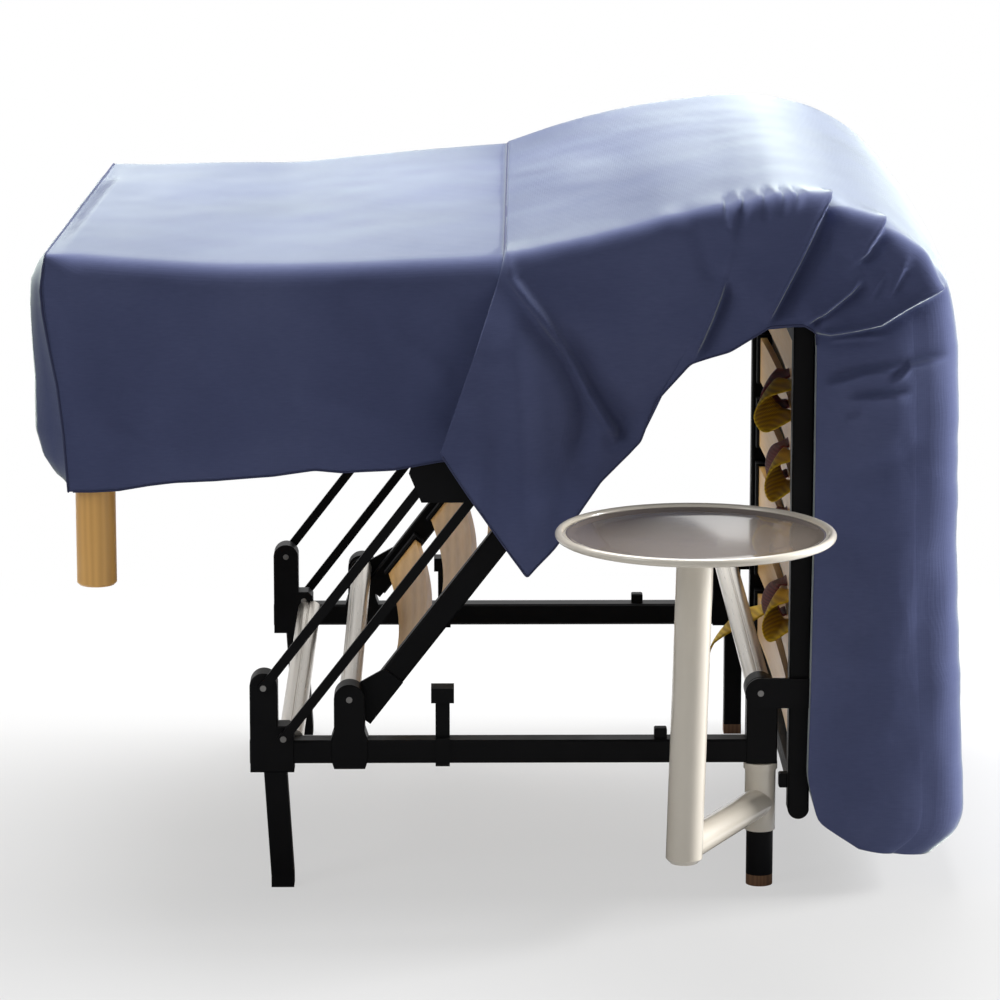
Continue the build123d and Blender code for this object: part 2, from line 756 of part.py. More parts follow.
back_slat_low = back_rail_bottom + back_bar_inset + back_bar_size
back_slat_high = back_rail_top - back_bar_inset - back_bar_size
back_slat_pitch = (back_slat_high - back_slat_low) / back_slat_count
back_slat_points = [
    Vector(back_rail_middle_x, 0, back_slat_low + (n + half) * back_slat_pitch) for n in range(back_slat_count)
]
slatted(back_slat_points, Vector(1, 0, 0), back_rail_inner, back_slat_bow, "back_slats", "back_slat_holders")

# A small stop on the front rail, just above the table's sleeve
with BuildPart() as back_stop:
    with BuildSketch(Plane.XY.offset(stop_low_z)):
        with Locations((back_rail_left - stop_length / 2, -back_rail_y)):
            Rectangle(stop_length, stop_depth)
    extrude(amount=stop_height)
    chamfer(back_stop.edges().filter_by(Axis.Y).group_by(Axis.X)[0], edge_break)
keep(back_stop, "back_stop")

# Elastic webbing before the slats
for number, name in enumerate(("yellow_webbing", "maroon_webbing")):
    this_y = strap_y + number * strap_pitch
    strap_share = (abs(this_y) + strap_width / 2) / back_rail_inner
    strap_x = back_rail_middle_x - slat_thickness / 2 + back_slat_bow * (1 - strap_share**2)
    with BuildPart() as strap:
        with BuildSketch(Plane.XY.offset(strap_low_z)):
            with Locations((strap_x - strap_thickness / 2 - soft_gap, this_y)):
                Rectangle(strap_thickness, strap_width)
        extrude(amount=strap_high_z - strap_low_z)
    keep(strap, name)

def between(front_edge, rear_edge, share):
    """The outline at this share of the way from the front edge to the rear edge."""
    return [
        (near[0] + (far[0] - near[0]) * share, near[1] + (far[1] - near[1]) * share)
        for near, far in zip(front_edge, rear_edge)
    ]


def seat_outline(share, draw):
    """Outline of the seat length, drawn in by this much at its foot and top."""
    low = seat_frame_top + soft_gap
    top = between(
        ((seat_mattress_right, seam_front_z), *seat_top_front),
        ((seat_mattress_right, seam_rear_z), *seat_top_rear),
        share,
    )
    foot = top[-1][0] + draw
    return [(x, z - draw) for x, z in top[:-1]] + [(foot, top[-1][1] - draw), (foot, low), (seat_mattress_right, low)]


def middle_outline(share, draw):
    """Outline of the middle length, which humps over the top of the back panel."""
    left = seat_mattress_right + soft_gap
    low_left = seat_frame_top + soft_gap
    low_right = back_rail_top + soft_gap
    inner = back_rail_left + back_rail_width + soft_gap
    upper = between(((left, seam_front_z), *hump_front), ((left, seam_rear_z), *hump_rear), share)
    return [(x, z - draw) for x, z in upper[:-1]] + [
        (upper[-1][0] - draw, upper[-1][1] + soft_gap),
        (inner, upper[-1][1] + soft_gap),
        (inner, low_right),
        (back_rail_left, low_right),
        (seat_frame_right + soft_gap, low_left),
        (left, low_left),
    ]


def head_outline(share, draw):
    """Outline of the head length, which hangs behind the back panel."""
    inner = back_rail_left + back_rail_width + soft_gap
    outer = between(head_front, head_rear, share)
    middle = (inner + outer[0][0]) / 2
    drawn = [(x - draw, z) if x > middle else (x, z + draw) for x, z in outer]
    return drawn + [(inner, head_inner_bottom), (inner, outer[0][1])]


# Each length of the mattress is full across the middle and drawn in towards its two long sides
for name, outline in (
    ("seat_mattress", seat_outline),
    ("mattress_middle", middle_outline),
    ("mattress_head", head_outline),
):
    with BuildPart() as mattress:
        for place, draw in zip(mattress_place_shares, mattress_draw_shares):
            with BuildSketch(Plane.XZ.offset(-place * mattress_half_width)):
                with BuildLine():
                    Polyline(*outline((place + 1) / 2, draw * mattress_draw), close=True)
                make_face()
        loft(ruled=True)
    keep(mattress, name)

skirt_inner = mattress_half_width + soft_gap
skirt_front_left = seat_foot_front - soft_gap
skirt_rear_left = seat_foot_rear - soft_gap


def hanging_strip(plane, levels):
    """An upright strip of cloth on this plane, through levels that each give its stand and its height."""
    with BuildSketch(plane) as strip:
        with BuildLine():
            near = [(stand, height) for stand, height in levels]
            far = [(stand + cover_thickness, height) for stand, height in reversed(levels)]
            Polyline(*near, *far, close=True)
        make_face()
    return strip.sketch


# Skirt of the cover: two long sides with shallow folds, and a foot panel that the mattress bulges
with BuildPart() as cover_skirt:
    for side in sides:
        start = skirt_front_left if side == front else skirt_rear_left
        fold_run = (skirt_fold_end - start) / skirt_fold_count
        stops = [start + n * fold_run for n in range(skirt_fold_count + 1)] + [seat_mattress_right]
        strips = []
        for n, x in enumerate(stops):
            stand = skirt_fold_depth if n % 2 and n < skirt_fold_count else 0
            hem = hem_height + hem_rise * (x - start) / (seat_mattress_right - start)
            plane = Plane(origin=(x, 0, 0), x_dir=(0, -side, 0), z_dir=(-side, 0, 0))
            strips.append(hanging_strip(plane, [(skirt_inner, skirt_top), (skirt_inner + stand, hem)]))
        loft(strips, ruled=True)
    strips = []
    for share in (0, foot_edge_share, 1 - foot_edge_share, 1):
        bulge = foot_bulge_least if share in (0, 1) else foot_bulge
        left = skirt_front_left + (skirt_rear_left - skirt_front_left) * share
        levels = []
        for down_share, bulge_share in zip(foot_height_shares, foot_bulge_shares):
            draw = foot_draw_front * (1 - share) * down_share
            height = skirt_top + (hem_height - skirt_top) * down_share
            levels.append((bulge * bulge_share - draw - left, height))
        y = skirt_inner * (2 * share - 1)
        strips.append(hanging_strip(Plane(origin=(0, y, 0), x_dir=(-1, 0, 0), z_dir=(0, 1, 0)), levels))
    loft(strips, ruled=True)
keep(cover_skirt, "cover_skirt")

# Pointed flaps of the cover that hang down at the front and the rear, lofted from the top to the tip
flap_inner = skirt_inner + cover_thickness + flap_fold_least + soft_gap
with BuildPart() as cover_flap:
    for side in sides:
        strips = []
        for height, left, right, share in zip(
            flap_heights, flap_left_places, flap_right_places, flap_fold_shares
        ):
            run = right - left
            bottom = [(side * left, 0), (side * right, 0)]
            if side == front:
                bottom.insert(1, (left + run * flap_crest_share, flap_fold_least + flap_fold_depth * share))
            top = [(x, depth + cover_thickness) for x, depth in reversed(bottom)]
            plane = Plane(origin=(0, -side * flap_inner, height), x_dir=(side, 0, 0), z_dir=(0, 0, -1))
            with BuildSketch(plane) as strip:
                with BuildLine():
                    Polyline(*bottom, *top, close=True)
                make_face()
            strips.append(strip.sketch)
        loft(strips, ruled=True)
keep(cover_flap, "cover_flap")

# Swivelling table
table_x = table_leg_x + table_reach_x
table_y = -rail_y + table_reach_y
post_foot_reach = Vector(table_reach_x - post_lean, table_reach_y, 0)
tray_bottom = tray_height - tray_dish - tray_floor
post_top_z = tray_bottom - post_neck
with BuildPart() as table_sleeve:
    with BuildSketch(Plane.XY.offset(sleeve_bottom + fit)):
        with Locations((table_leg_x, -rail_y)):
            Circle(sleeve_radius)
            Circle(table_leg_stub_radius + pin_clearance, mode=Mode.SUBTRACT)
    extrude(amount=sleeve_top - sleeve_bottom - fit)
keep(table_sleeve, "table_sleeve")

with BuildPart() as table_ring:
    with BuildSketch(Plane.XY.offset(sleeve_top)):
        with Locations((table_leg_x, -rail_y)):
            Circle(ring_radius)
            Circle(table_leg_stub_radius + pin_clearance, mode=Mode.SUBTRACT)
    extrude(amount=ring_height)
keep(table_ring, "table_ring")


def leaning_post(radius, mode=Mode.ADD):
    """The round post, whose foot stands a little to the left of its top."""
    with BuildSketch(Plane.XY.offset(post_bottom)) as foot:
        with Locations((table_x - post_lean, table_y)):
            Circle(radius)
    with BuildSketch(Plane.XY.offset(post_top_z)) as top:
        with Locations((table_x, table_y)):
            Circle(radius)
    loft([foot.sketch, top.sketch], mode=mode)


with BuildPart() as table_arm:
    arm_way = post_foot_reach.normalized()
    with BuildSketch(Plane(origin=(table_leg_x, -rail_y, table_arm_height), x_dir=(0, 0, 1), z_dir=arm_way)):
        Circle(table_arm_radius)
    extrude(amount=post_foot_reach.length)
    with BuildSketch(Plane.XY.offset(sleeve_bottom - overrun)):
        with Locations((table_leg_x, -rail_y)):
            Circle(sleeve_radius + fit)
    extrude(amount=sleeve_top - sleeve_bottom, mode=Mode.SUBTRACT)
    leaning_post(post_radius + fit, Mode.SUBTRACT)
keep(table_arm, "table_arm")

with BuildPart() as table_post:
    leaning_post(post_radius)
    chamfer(table_post.edges().group_by(Axis.Z)[0], post_rounding)
keep(table_post, "table_post")

# A dished tray with a rolled rim
with BuildPart() as tray:
    with BuildSketch(Plane(origin=(table_x, table_y, 0), x_dir=(1, 0, 0), z_dir=(0, -1, 0))):
        with BuildLine():
            foot_radius = tray_radius - 2 * tray_rim_radius - tray_dish
            Polyline(
                (0, tray_bottom),
                (foot_radius, tray_bottom),
                (tray_radius - 2 * tray_rim_radius + tray_floor, tray_height - tray_rim_radius),
                (tray_radius - 2 * tray_rim_radius, tray_height - tray_rim_radius + tray_floor),
                (foot_radius - tray_floor, tray_bottom + tray_floor),
                (0, tray_bottom + tray_floor),
                close=True,
            )
        make_face()
        with Locations((tray_radius - tray_rim_radius, tray_height - tray_rim_radius)):
            RegularPolygon(tray_rim_radius, tray_rim_sides)
    revolve(axis=Axis((table_x, table_y, 0), (0, 0, 1)))
    with BuildSketch(Plane.XY.offset(post_top_z)):
        with Locations((table_x, table_y)):
            Circle(post_radius + tray_flange)
    extrude(amount=tray_bottom - post_top_z)
keep(tray, "tray")

# The origin lies on the floor, below the middle of the whole
extent = Compound(children=[piece.moved(Location()) for piece in pieces]).bounding_box()
centre = Location((-extent.center().X, -extent.center().Y, 0))
os.makedirs("parts", exist_ok=True)
for piece in pieces:
    placed = piece.moved(centre)
    placed.label = piece.label
    export_step(placed, f"parts/{piece.label}.step")
print("extent", extent.size, "shift", centre.position, "pieces", len(pieces))
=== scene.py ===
# %% [markdown]
# # A chair bed, caught half way through opening
#
# The steel frame, the slats and the table come from the CAD model as a fixed frame: every piece is
# already in its place and at its real size. This file dresses it: it gives each piece its finish, and
# sews the loose cover over the mattress, because cloth is what CAD shows least well.

# %% Load the frame
import json
import math
from contextlib import contextmanager
import bpy
import bmesh
import numpy as np
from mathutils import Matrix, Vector, noise

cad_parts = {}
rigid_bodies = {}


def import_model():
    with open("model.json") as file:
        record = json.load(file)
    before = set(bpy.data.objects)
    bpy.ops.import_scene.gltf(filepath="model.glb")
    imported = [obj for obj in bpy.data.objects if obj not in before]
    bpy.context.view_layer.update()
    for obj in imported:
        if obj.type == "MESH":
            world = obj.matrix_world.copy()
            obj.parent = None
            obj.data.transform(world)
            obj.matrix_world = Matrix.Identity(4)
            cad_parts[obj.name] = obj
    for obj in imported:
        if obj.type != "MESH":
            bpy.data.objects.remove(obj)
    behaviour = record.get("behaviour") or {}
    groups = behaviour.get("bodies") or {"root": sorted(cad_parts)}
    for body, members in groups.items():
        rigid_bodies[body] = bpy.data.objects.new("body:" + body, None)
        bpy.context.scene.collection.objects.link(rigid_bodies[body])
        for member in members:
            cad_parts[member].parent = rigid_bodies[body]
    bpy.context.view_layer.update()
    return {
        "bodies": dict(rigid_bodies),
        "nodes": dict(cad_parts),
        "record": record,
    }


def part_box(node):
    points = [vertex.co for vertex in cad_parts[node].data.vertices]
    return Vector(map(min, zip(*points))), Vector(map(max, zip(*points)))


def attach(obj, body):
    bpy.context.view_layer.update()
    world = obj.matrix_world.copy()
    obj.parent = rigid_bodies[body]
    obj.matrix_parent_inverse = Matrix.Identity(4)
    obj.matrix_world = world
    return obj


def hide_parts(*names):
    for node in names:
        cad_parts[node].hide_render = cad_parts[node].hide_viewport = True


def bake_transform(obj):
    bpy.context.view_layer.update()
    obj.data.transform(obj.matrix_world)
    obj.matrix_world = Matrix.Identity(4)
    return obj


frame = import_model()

bodies = sorted(frame["bodies"])
print("bodies:", bodies, "nodes:", len(frame["nodes"]))

# %% [markdown]
# The drawings of the cover were made in millimetres on a plan of its own: x runs along the bed, z up
# from the floor, and y is 0 in the middle of its width. The frame's origin lies elsewhere, so one
# helper turns a place on the plan into metres in the frame. The shift is measured on a rail, whose
# place on the plan is known, so the cover follows if the frame is packed again.

# %% From the plan to the frame
PLAN_RAIL_LEFT = -316.0
PLAN_RAIL_Y = -385.0
MM = 0.001

rail_low, rail_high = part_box("base_rail_front")
SHIFT = Vector((rail_low.x - PLAN_RAIL_LEFT * MM, (rail_low.y + rail_high.y) / 2 - PLAN_RAIL_Y * MM, 0))


def plan(x, y, z):
    """A place on the plan, in metres in the frame."""
    return Vector((x * MM, y * MM, z * MM)) + SHIFT


print("plan to frame:", [round(value, 4) for value in SHIFT])

# %% [markdown]
# The camera stands six metres off with a long lens, a little above the seat and tilted down, because
# the picture shows the rails almost parallel and the tray as a flat ellipse. Standing further off with
# a longer lens would flatten it more, and nearer would spread the legs.

# %% Camera
PITCH = math.radians(11.55)
TURN = math.radians(0.53)
LENS = 163.8
FILM_WIDTH = 36.0
CAMERA_PLACE = (-51.6, -5965.3, 1638.9)


def put_in_scene(name, data):
    """An object made of some data and linked to the scene."""
    made = bpy.data.objects.new(name, data)
    bpy.context.scene.collection.objects.link(made)
    return made


camera_data = bpy.data.cameras.new("camera")
camera_data.lens = LENS
camera_data.sensor_width = FILM_WIDTH
camera = put_in_scene("camera", camera_data)
camera.location = plan(*CAMERA_PLACE)
camera.rotation_euler = (math.pi / 2 - PITCH, 0, -TURN)
bpy.context.scene.camera = camera
print("camera at", [round(value, 3) for value in camera.location])

# %% [markdown]
# ## Materials
#
# Every finish is a node tree over object coordinates, so nothing needs to be unwrapped: the grain of a
# slat and the weave of the cloth have a real size in metres and hold still when a piece turns. The helpers
# make the plain shader, clouds and stripes that can be stretched along an axis, and mixtures of them.

# %% Material helpers
def new_finish(name, colour, roughness, **sockets):
    """A material with its main shader, whose constants are set on the shader itself."""
    material = bpy.data.materials.new(name)
    material.use_nodes = True
    shader = material.node_tree.nodes["Principled BSDF"]
    shader.inputs["Base Color"].default_value = (*colour, 1)
    shader.inputs["Roughness"].default_value = roughness
    for socket, value in sockets.items():
        shader.inputs[socket.replace("_", " ")].default_value = value
    return material, material.node_tree, shader


def pattern_over(tree, kind, scale, stretch, **sockets):
    """A pattern node over the object's own places, stretched by its own factors along x, y and z."""
    place = tree.nodes.new("ShaderNodeTexCoord")
    mapping = tree.nodes.new("ShaderNodeMapping")
    mapping.inputs["Scale"].default_value = stretch
    pattern = tree.nodes.new(kind)
    pattern.inputs["Scale"].default_value = scale
    for socket, value in sockets.items():
        pattern.inputs[socket].default_value = value
    tree.links.new(place.outputs["Object"], mapping.inputs["Vector"])
    tree.links.new(mapping.outputs["Vector"], pattern.inputs["Vector"])
    return pattern


def noise_over(tree, scale, stretch=(1, 1, 1), detail=3.0):
    """A cloudy pattern over the object."""
    return pattern_over(tree, "ShaderNodeTexNoise", scale, stretch, Detail=detail).outputs["Fac"]


def waves_over(tree, scale, stretch=(1, 1, 1), direction="X", distortion=0.0):
    """Even stripes across the object along one axis."""
    wave = pattern_over(tree, "ShaderNodeTexWave", scale, stretch, Distortion=distortion)
    wave.wave_type = "BANDS"
    wave.bands_direction = direction
    return wave.outputs["Fac"]


def ramp(tree, fac, stops):
    """Turn a grey pattern into colours, from a list of place and colour."""
    node = tree.nodes.new("ShaderNodeValToRGB")
    elements = node.color_ramp.elements
    while len(elements) < len(stops):
        elements.new(0.5)
    for element, (place, colour) in zip(elements, stops):
        element.position = place
        element.color = (*colour, 1)
    tree.links.new(fac, node.inputs["Fac"])
    return node.outputs["Color"]


def colour_by(tree, shader, fac, stops):
    """Colour a finish by a pattern."""
    tree.links.new(ramp(tree, fac, stops), shader.inputs["Base Color"])


def blend_values(tree, first, second, how):
    """Put two grey patterns together, or a pattern and a number."""
    node = tree.nodes.new("ShaderNodeMath")
    node.operation = how
    tree.links.new(first, node.inputs[0])
    if isinstance(second, (int, float)):
        node.inputs[1].default_value = second
    else:
        tree.links.new(second, node.inputs[1])
    return node.outputs["Value"]


def mixture(tree, *parts):
    """Add up grey patterns, each by its own share."""
    total = None
    for pattern, share in parts:
        part = blend_values(tree, pattern, share, "MULTIPLY")
        total = part if total is None else blend_values(tree, total, part, "ADD")
    return total


def bump(tree, shader, height, strength, distance):
    """Raise the surface where the pattern is light."""
    node = tree.nodes.new("ShaderNodeBump")
    node.inputs["Strength"].default_value = strength
    node.inputs["Distance"].default_value = distance
    tree.links.new(height, node.inputs["Height"])
    tree.links.new(node.outputs["Normal"], shader.inputs["Normal"])


def spread(tree, fac, low, high):
    """Stretch a pattern from 0..1 to low..high, for a roughness that varies."""
    node = tree.nodes.new("ShaderNodeMapRange")
    node.inputs["To Min"].default_value = low
    node.inputs["To Max"].default_value = high
    tree.links.new(fac, node.inputs["Value"])
    return node.outputs["Result"]


print("material helpers ready")

# %% [markdown]
# The cover is a plain-woven cotton in a dusty violet blue. Three sizes of pattern make it: threads
# about two millimetres apart in all directions, slubs, which are thicker threads here and there, and broad
# clouds where the cloth is rubbed or creased. A sheen gives the pale bloom that cotton shows when
# light skims along it, which is what turns the top of the bed so much lighter than its sides.

# %% Blue cotton
THREADS = 1000 / 7
COTTON_BLOOM = (0.9, 1, 0.9, 1)


def woven_cloth(name, dark, mid, light, sheen):
    """Plain-woven cloth in three tones."""
    material, tree, shader = new_finish(
        name, mid, 0.9, Specular_IOR_Level=0.1,
        Sheen_Weight=sheen, Sheen_Roughness=0.3, Sheen_Tint=COTTON_BLOOM,
    )
    clouds = noise_over(tree, 5.0, detail=5.0)
    slubs = noise_over(tree, 160.0, stretch=(0.5, 0.5, 3.0), detail=4.0)
    threads = {axis: waves_over(tree, THREADS, direction=axis, distortion=0.6) for axis in "XZY"}
    crossing = blend_values(tree, threads["X"], threads["Z"], "MULTIPLY")
    weave = blend_values(tree, crossing, threads["Y"], "ADD")
    tone = mixture(tree, (clouds, 0.75), (slubs, 0.25))
    colour_by(tree, shader, tone, [(0.3, dark), (0.5, mid), (0.7, light)])
    bump(tree, shader, mixture(tree, (weave, 0.6), (slubs, 0.5)), 0.2, 0.0004)
    return material


blue_cotton = woven_cloth("blue_cotton", (0.07, 0.083, 0.175), (0.084, 0.099, 0.202), (0.1, 0.117, 0.23), 0.9)
ticking = woven_cloth("ticking", (0.52, 0.5, 0.46), (0.6, 0.58, 0.54), (0.68, 0.66, 0.62), 0.1)
print("cloth:", blue_cotton.name, ticking.name)

# %% [markdown]
# The frame is powder coated in satin black. Powder coat flows into a fine orange peel, which
# a small bump gives, and it rubs a little shinier where hands and hinges touch it, so the
# roughness wanders between two values. The cross tubes are bare drawn steel, and the table is enamelled.

# %% Black powder coat, black plastic, bare steel and enamel
def shades(colour, *factors):
    """The same colour made darker or lighter by each factor."""
    return [tuple(min(1, value * factor) for value in colour) for factor in factors]


def coated_metal(name, colour, rough_low, rough_high, grain=700.0, **sockets):
    """A fine orange peel, rubbed shinier in places."""
    material, tree, shader = new_finish(name, colour, rough_low, **sockets)
    peel = noise_over(tree, grain, detail=2.0)
    rub = noise_over(tree, 22.0, detail=4.0)
    tree.links.new(spread(tree, rub, rough_low, rough_high), shader.inputs["Roughness"])
    darker, lighter = shades(colour, 0.75, 1.3)
    colour_by(tree, shader, rub, [(0.35, darker), (0.5, colour), (0.68, lighter)])
    bump(tree, shader, peel, 0.2, 0.00015)
    return material


DULL = 0.09
black_coat = coated_metal("black_powder_coat", (0.0025, 0.0025, 0.003), 0.36, 0.52, Specular_IOR_Level=DULL)
black_plastic = coated_metal(
    "black_plastic", (0.003, 0.003, 0.0035), 0.45, 0.62, grain=1400.0, Specular_IOR_Level=DULL
)
pin_steel = coated_metal("pin_steel", (0.16, 0.155, 0.15), 0.25, 0.4, grain=900.0, Metallic=1.0)


def drawn_tube(name, colour, along):
    """Steel tube that was drawn through a die: fine streaks along its length."""
    material, tree, shader = new_finish(name, colour, 0.28, Metallic=1.0)
    squeeze = tuple(1.0 if axis == along else 60.0 for axis in "XYZ")
    streaks = noise_over(tree, 12.0, stretch=squeeze, detail=3.0)
    tree.links.new(spread(tree, streaks, 0.2, 0.42), shader.inputs["Roughness"])
    (darker,) = shades(colour, 0.82)
    colour_by(tree, shader, streaks, [(0.3, darker), (0.7, colour)])
    bump(tree, shader, streaks, 0.08, 0.0002)
    return material


silver_tube = drawn_tube("silver_tube", (0.56, 0.52, 0.46), "Y")


def glossy_enamel(name, colour, rough):
    """Stoved enamel: plain colour under a clear gloss, with the faint waviness of a sprayed coat."""
    material, tree, shader = new_finish(name, colour, rough, Coat_Weight=1.0, Coat_Roughness=0.06)
    bump(tree, shader, noise_over(tree, 26.0, detail=1.0), 0.06, 0.0008)
    return material


cream_coat = glossy_enamel("cream_coat", (0.74, 0.68, 0.58), 0.3)
# The tray floor's darker enamel is painted shade: the hump's shadow and a painted reflection of the dark
# underside above it.
tray_painted_shade = glossy_enamel("tray_painted_shade", (0.27, 0.225, 0.19), 0.2)
print("metals:", [m.name for m in (black_coat, black_plastic, pin_steel, silver_tube, cream_coat, tray_painted_shade)])

# %% [markdown]
# Wood is drawn by its growth rings. A slat is cut along the trunk, so its rings show as long streaks
# with a few wavy cathedral arches; here a stripe pattern is squeezed along the slat and pushed about by
# distortion. The round leg is the same wood turned on a lathe, warmer from its oil.

# %% Birch, beech and the dark foot
def grained_wood(name, pale, dark, along, roughness, rings=26.0, coat=0.0):
    """Wood whose grain runs along one axis."""
    material, tree, shader = new_finish(name, pale, roughness, Coat_Weight=coat, Coat_Roughness=0.3)
    squeeze = tuple(0.06 if axis == along else 1.0 for axis in "XYZ")
    across = "X" if along != "X" else "Z"
    rings_fac = waves_over(tree, rings, stretch=squeeze, direction=across, distortion=5.0)
    pores = noise_over(tree, 260.0, stretch=squeeze, detail=4.0)
    mottle = noise_over(tree, 9.0, detail=3.0)
    tone = mixture(tree, (rings_fac, 0.4), (pores, 0.35), (mottle, 0.35))
    middle = tuple((a + b) / 2 for a, b in zip(pale, dark))
    colour_by(tree, shader, tone, [(0.25, pale), (0.55, middle), (0.85, dark)])
    tree.links.new(spread(tree, pores, roughness - 0.06, roughness + 0.12), shader.inputs["Roughness"])
    bump(tree, shader, pores, 0.15, 0.0003)
    return material


birch = grained_wood("bent_birch", (0.84, 0.5, 0.14), (0.7, 0.38, 0.09), "Y", 0.4, coat=0.1)
beech = grained_wood("oiled_beech", (0.92, 0.52, 0.15), (0.8, 0.42, 0.11), "Z", 0.38, rings=34.0, coat=0.2)
walnut = grained_wood("foot_wood", (0.2, 0.1, 0.045), (0.11, 0.05, 0.02), "Z", 0.55, rings=60.0)
print("woods:", birch.name, beech.name, walnut.name)

# %% [markdown]
# Webbing is a narrow ribbed tape. Two stripe patterns, one for the ribs across it and one for the threads
# along it, make a strong bump, and its colour is a little faded here and there.

# %% Yellow and maroon webbing
def tape_cloth(name, dark, light):
    """Ribbed tape, a little faded."""
    material, tree, shader = new_finish(name, light, 0.8, Sheen_Weight=0.2, Sheen_Roughness=0.5)
    ribs = waves_over(tree, 70.0, direction="Z", distortion=0.3)
    warp = waves_over(tree, 110.0, direction="Y", distortion=0.3)
    fade = noise_over(tree, 14.0, detail=4.0)
    tone = mixture(tree, (ribs, 0.35), (fade, 0.65))
    colour_by(tree, shader, tone, [(0.25, dark), (0.65, light)])
    bump(tree, shader, blend_values(tree, ribs, warp, "ADD"), 0.4, 0.0008)
    return material


yellow_tape = tape_cloth("yellow_tape", (0.62, 0.38, 0.012), (0.95, 0.66, 0.03))
maroon_tape = tape_cloth("maroon_tape", (0.11, 0.016, 0.016), (0.24, 0.04, 0.04))
print("tapes:", yellow_tape.name, maroon_tape.name)

# %% [markdown]
# The record names a material slot for every node. Giving each node the finish of its slot keeps this
# short, and a node that is added later gets its finish by itself. The brackets need no bevel here, since
# their chamfers are already in the model.

# %% Finish every node by its slot
FINISH_OF_SLOT = {
    "black_frame": black_coat,
    "black_plastic": black_plastic,
    "silver_tube": silver_tube,
    "steel_pin": pin_steel,
    "bent_birch": birch,
    "oiled_beech": beech,
    "brown_wood": walnut,
    "covered_foam": blue_cotton,
    "blue_cloth": blue_cotton,
    "yellow_web": yellow_tape,
    "maroon_web": maroon_tape,
    "off_white_paint": cream_coat,
}
SLOT_OF_NODE = {entry["node"]: entry["material_slot"] for entry in frame["record"]["subparts"]}
for node, obj in frame["nodes"].items():
    obj.data.materials.clear()
    obj.data.materials.append(FINISH_OF_SLOT[SLOT_OF_NODE[node]])
print("finished", len(frame["nodes"]), "nodes")

# %% [markdown]
# ## The cover
#
# The cover is one tube of cloth pulled over the mattress. Both its lengths, over the seat and over the
# hump, are drawn in the same way: at stations along the bed I give the front and the rear top edge of the
# mattress, and the hem below, which is the same on both sides. A smooth curve joins each list, so a few
# measured places give a flowing shape. Where the cloth turns over an edge it is rounded.

# %% Curves through measured places
def along_stations(places, spots):
    """Places along a smooth curve through the given ones, at spots counted from the first of them."""
    places = np.array(places, float)
    padded = np.vstack([2 * places[0] - places[1], places, 2 * places[-1] - places[-2]])
    k = np.minimum(spots.astype(int), len(places) - 2)
    t = (spots - k)[:, None]
    a, b, c, d = padded[k], padded[k + 1], padded[k + 2], padded[k + 3]
    return 0.5 * (2 * b + (c - a) * t + (2 * a - 5 * b + 4 * c - d) * t**2 + (3 * b - a - 3 * c + d) * t**3)


def smooth_row(places, count):
    """The same, at a number of spots that are evenly spread over the places."""
    return along_stations(places, np.linspace(0, len(places) - 1, count))


def ease(value):
    """A smooth step from 0 to 1."""
    value = np.clip(value, 0, 1)
    return value * value * (3 - 2 * value)


print("curve helpers ready")

# %% [markdown]
# No cloth lies perfectly smooth. A little noise, in two sizes, is the unevenness of a washed cover, and
# because it is noise over places and not a random draw, it comes out the same every time.

# %% Unevenness
def rumple(x, y, z, size, seed):
    """Soft unevenness of cloth, about -1 to 1, the same each time."""
    return noise.noise(Vector((x / size + seed, y / size, z / size)))


def washed(x, z, broad, small):
    """Unevenness in two sizes over many x, z places. Each size is a y place, a width and a seed."""
    (y_broad, *broad), (y_small, *small) = broad, small
    return np.array([
        rumple(a, y_broad, b, *broad) + 0.5 * rumple(a, y_small, b, *small)
        for a, b in zip(x, z)
    ])


print("a sample of the unevenness:", [round(rumple(100 * n, 0, 500, 46, 1), 2) for n in range(4)])

# %% [markdown]
# Folds are what make cloth look like cloth. A crease is a broken line of places, read off the picture. For
# every point of the cloth the nearest stretch of that line is found, then how far the point lies to its left
# or right. Where cloth laps over itself it stands up on one side, with a small lip that catches the light,
# falls away on the other, and changes over in a few millimetres. A swell is softer: a ridge or, with a
# negative height, a valley.

# %% Creases along bent lines
def beside(places, line):
    """Share along a broken line and distance to its left, in millimetres, for each x, z place."""
    line = np.array(line, float)
    steps = np.hypot(*np.diff(line, axis=0).T)
    starts = np.concatenate([[0], np.cumsum(steps)])
    best = np.full(len(places), np.inf)
    share = np.zeros(len(places))
    left = np.zeros(len(places))
    for k, step in enumerate(steps):
        way = (line[k + 1] - line[k]) / step
        off = places - line[k]
        run = np.clip(off @ way, 0, step)
        gap = np.hypot(*(off - run[:, None] * way).T)
        nearer = gap < best
        side = np.sign(off @ np.array([-way[1], way[0]]))
        best = np.where(nearer, gap, best)
        share = np.where(nearer, (starts[k] + run) / starts[-1], share)
        left = np.where(nearer, gap * side, left)
    return share, left


CREASE_EDGE = 2.6
LIP = 0.3
LIP_WIDTH = 3.5
BLUNT = 0.12


def grow_along(share, start, end):
    """Fade a fold in over its first share and out over its last."""
    return ease(share / start + BLUNT) * ease((1 - share) / (1 - end) + BLUNT)


def crease(places, line, stand, fall, wide_left, wide_right, grow):
    """Height of a lap of cloth beside a broken line: it stands up to its left and falls away to its right."""
    share, left = beside(places, line)
    step = 0.5 * (1 + np.tanh(left / CREASE_EDGE))
    up = step * stand * np.exp(-np.abs(left) / wide_left)
    down = (1 - step) * fall * np.exp(-np.abs(left) / wide_right)
    lip = LIP * stand * np.exp(-(((left - LIP_WIDTH) / LIP_WIDTH) ** 2))
    return (up - down + lip) * grow_along(share, *grow)


def swell(places, line, height, width, grow=(0.2, 0.8)):
    """Height of a soft ridge along a broken line, or of a valley where it is negative."""
    share, left = beside(places, line)
    return height * np.exp(-((left / width) ** 2)) * grow_along(share, *grow)


print("crease helpers ready, a lap turns over", 2 * CREASE_EDGE, "mm")

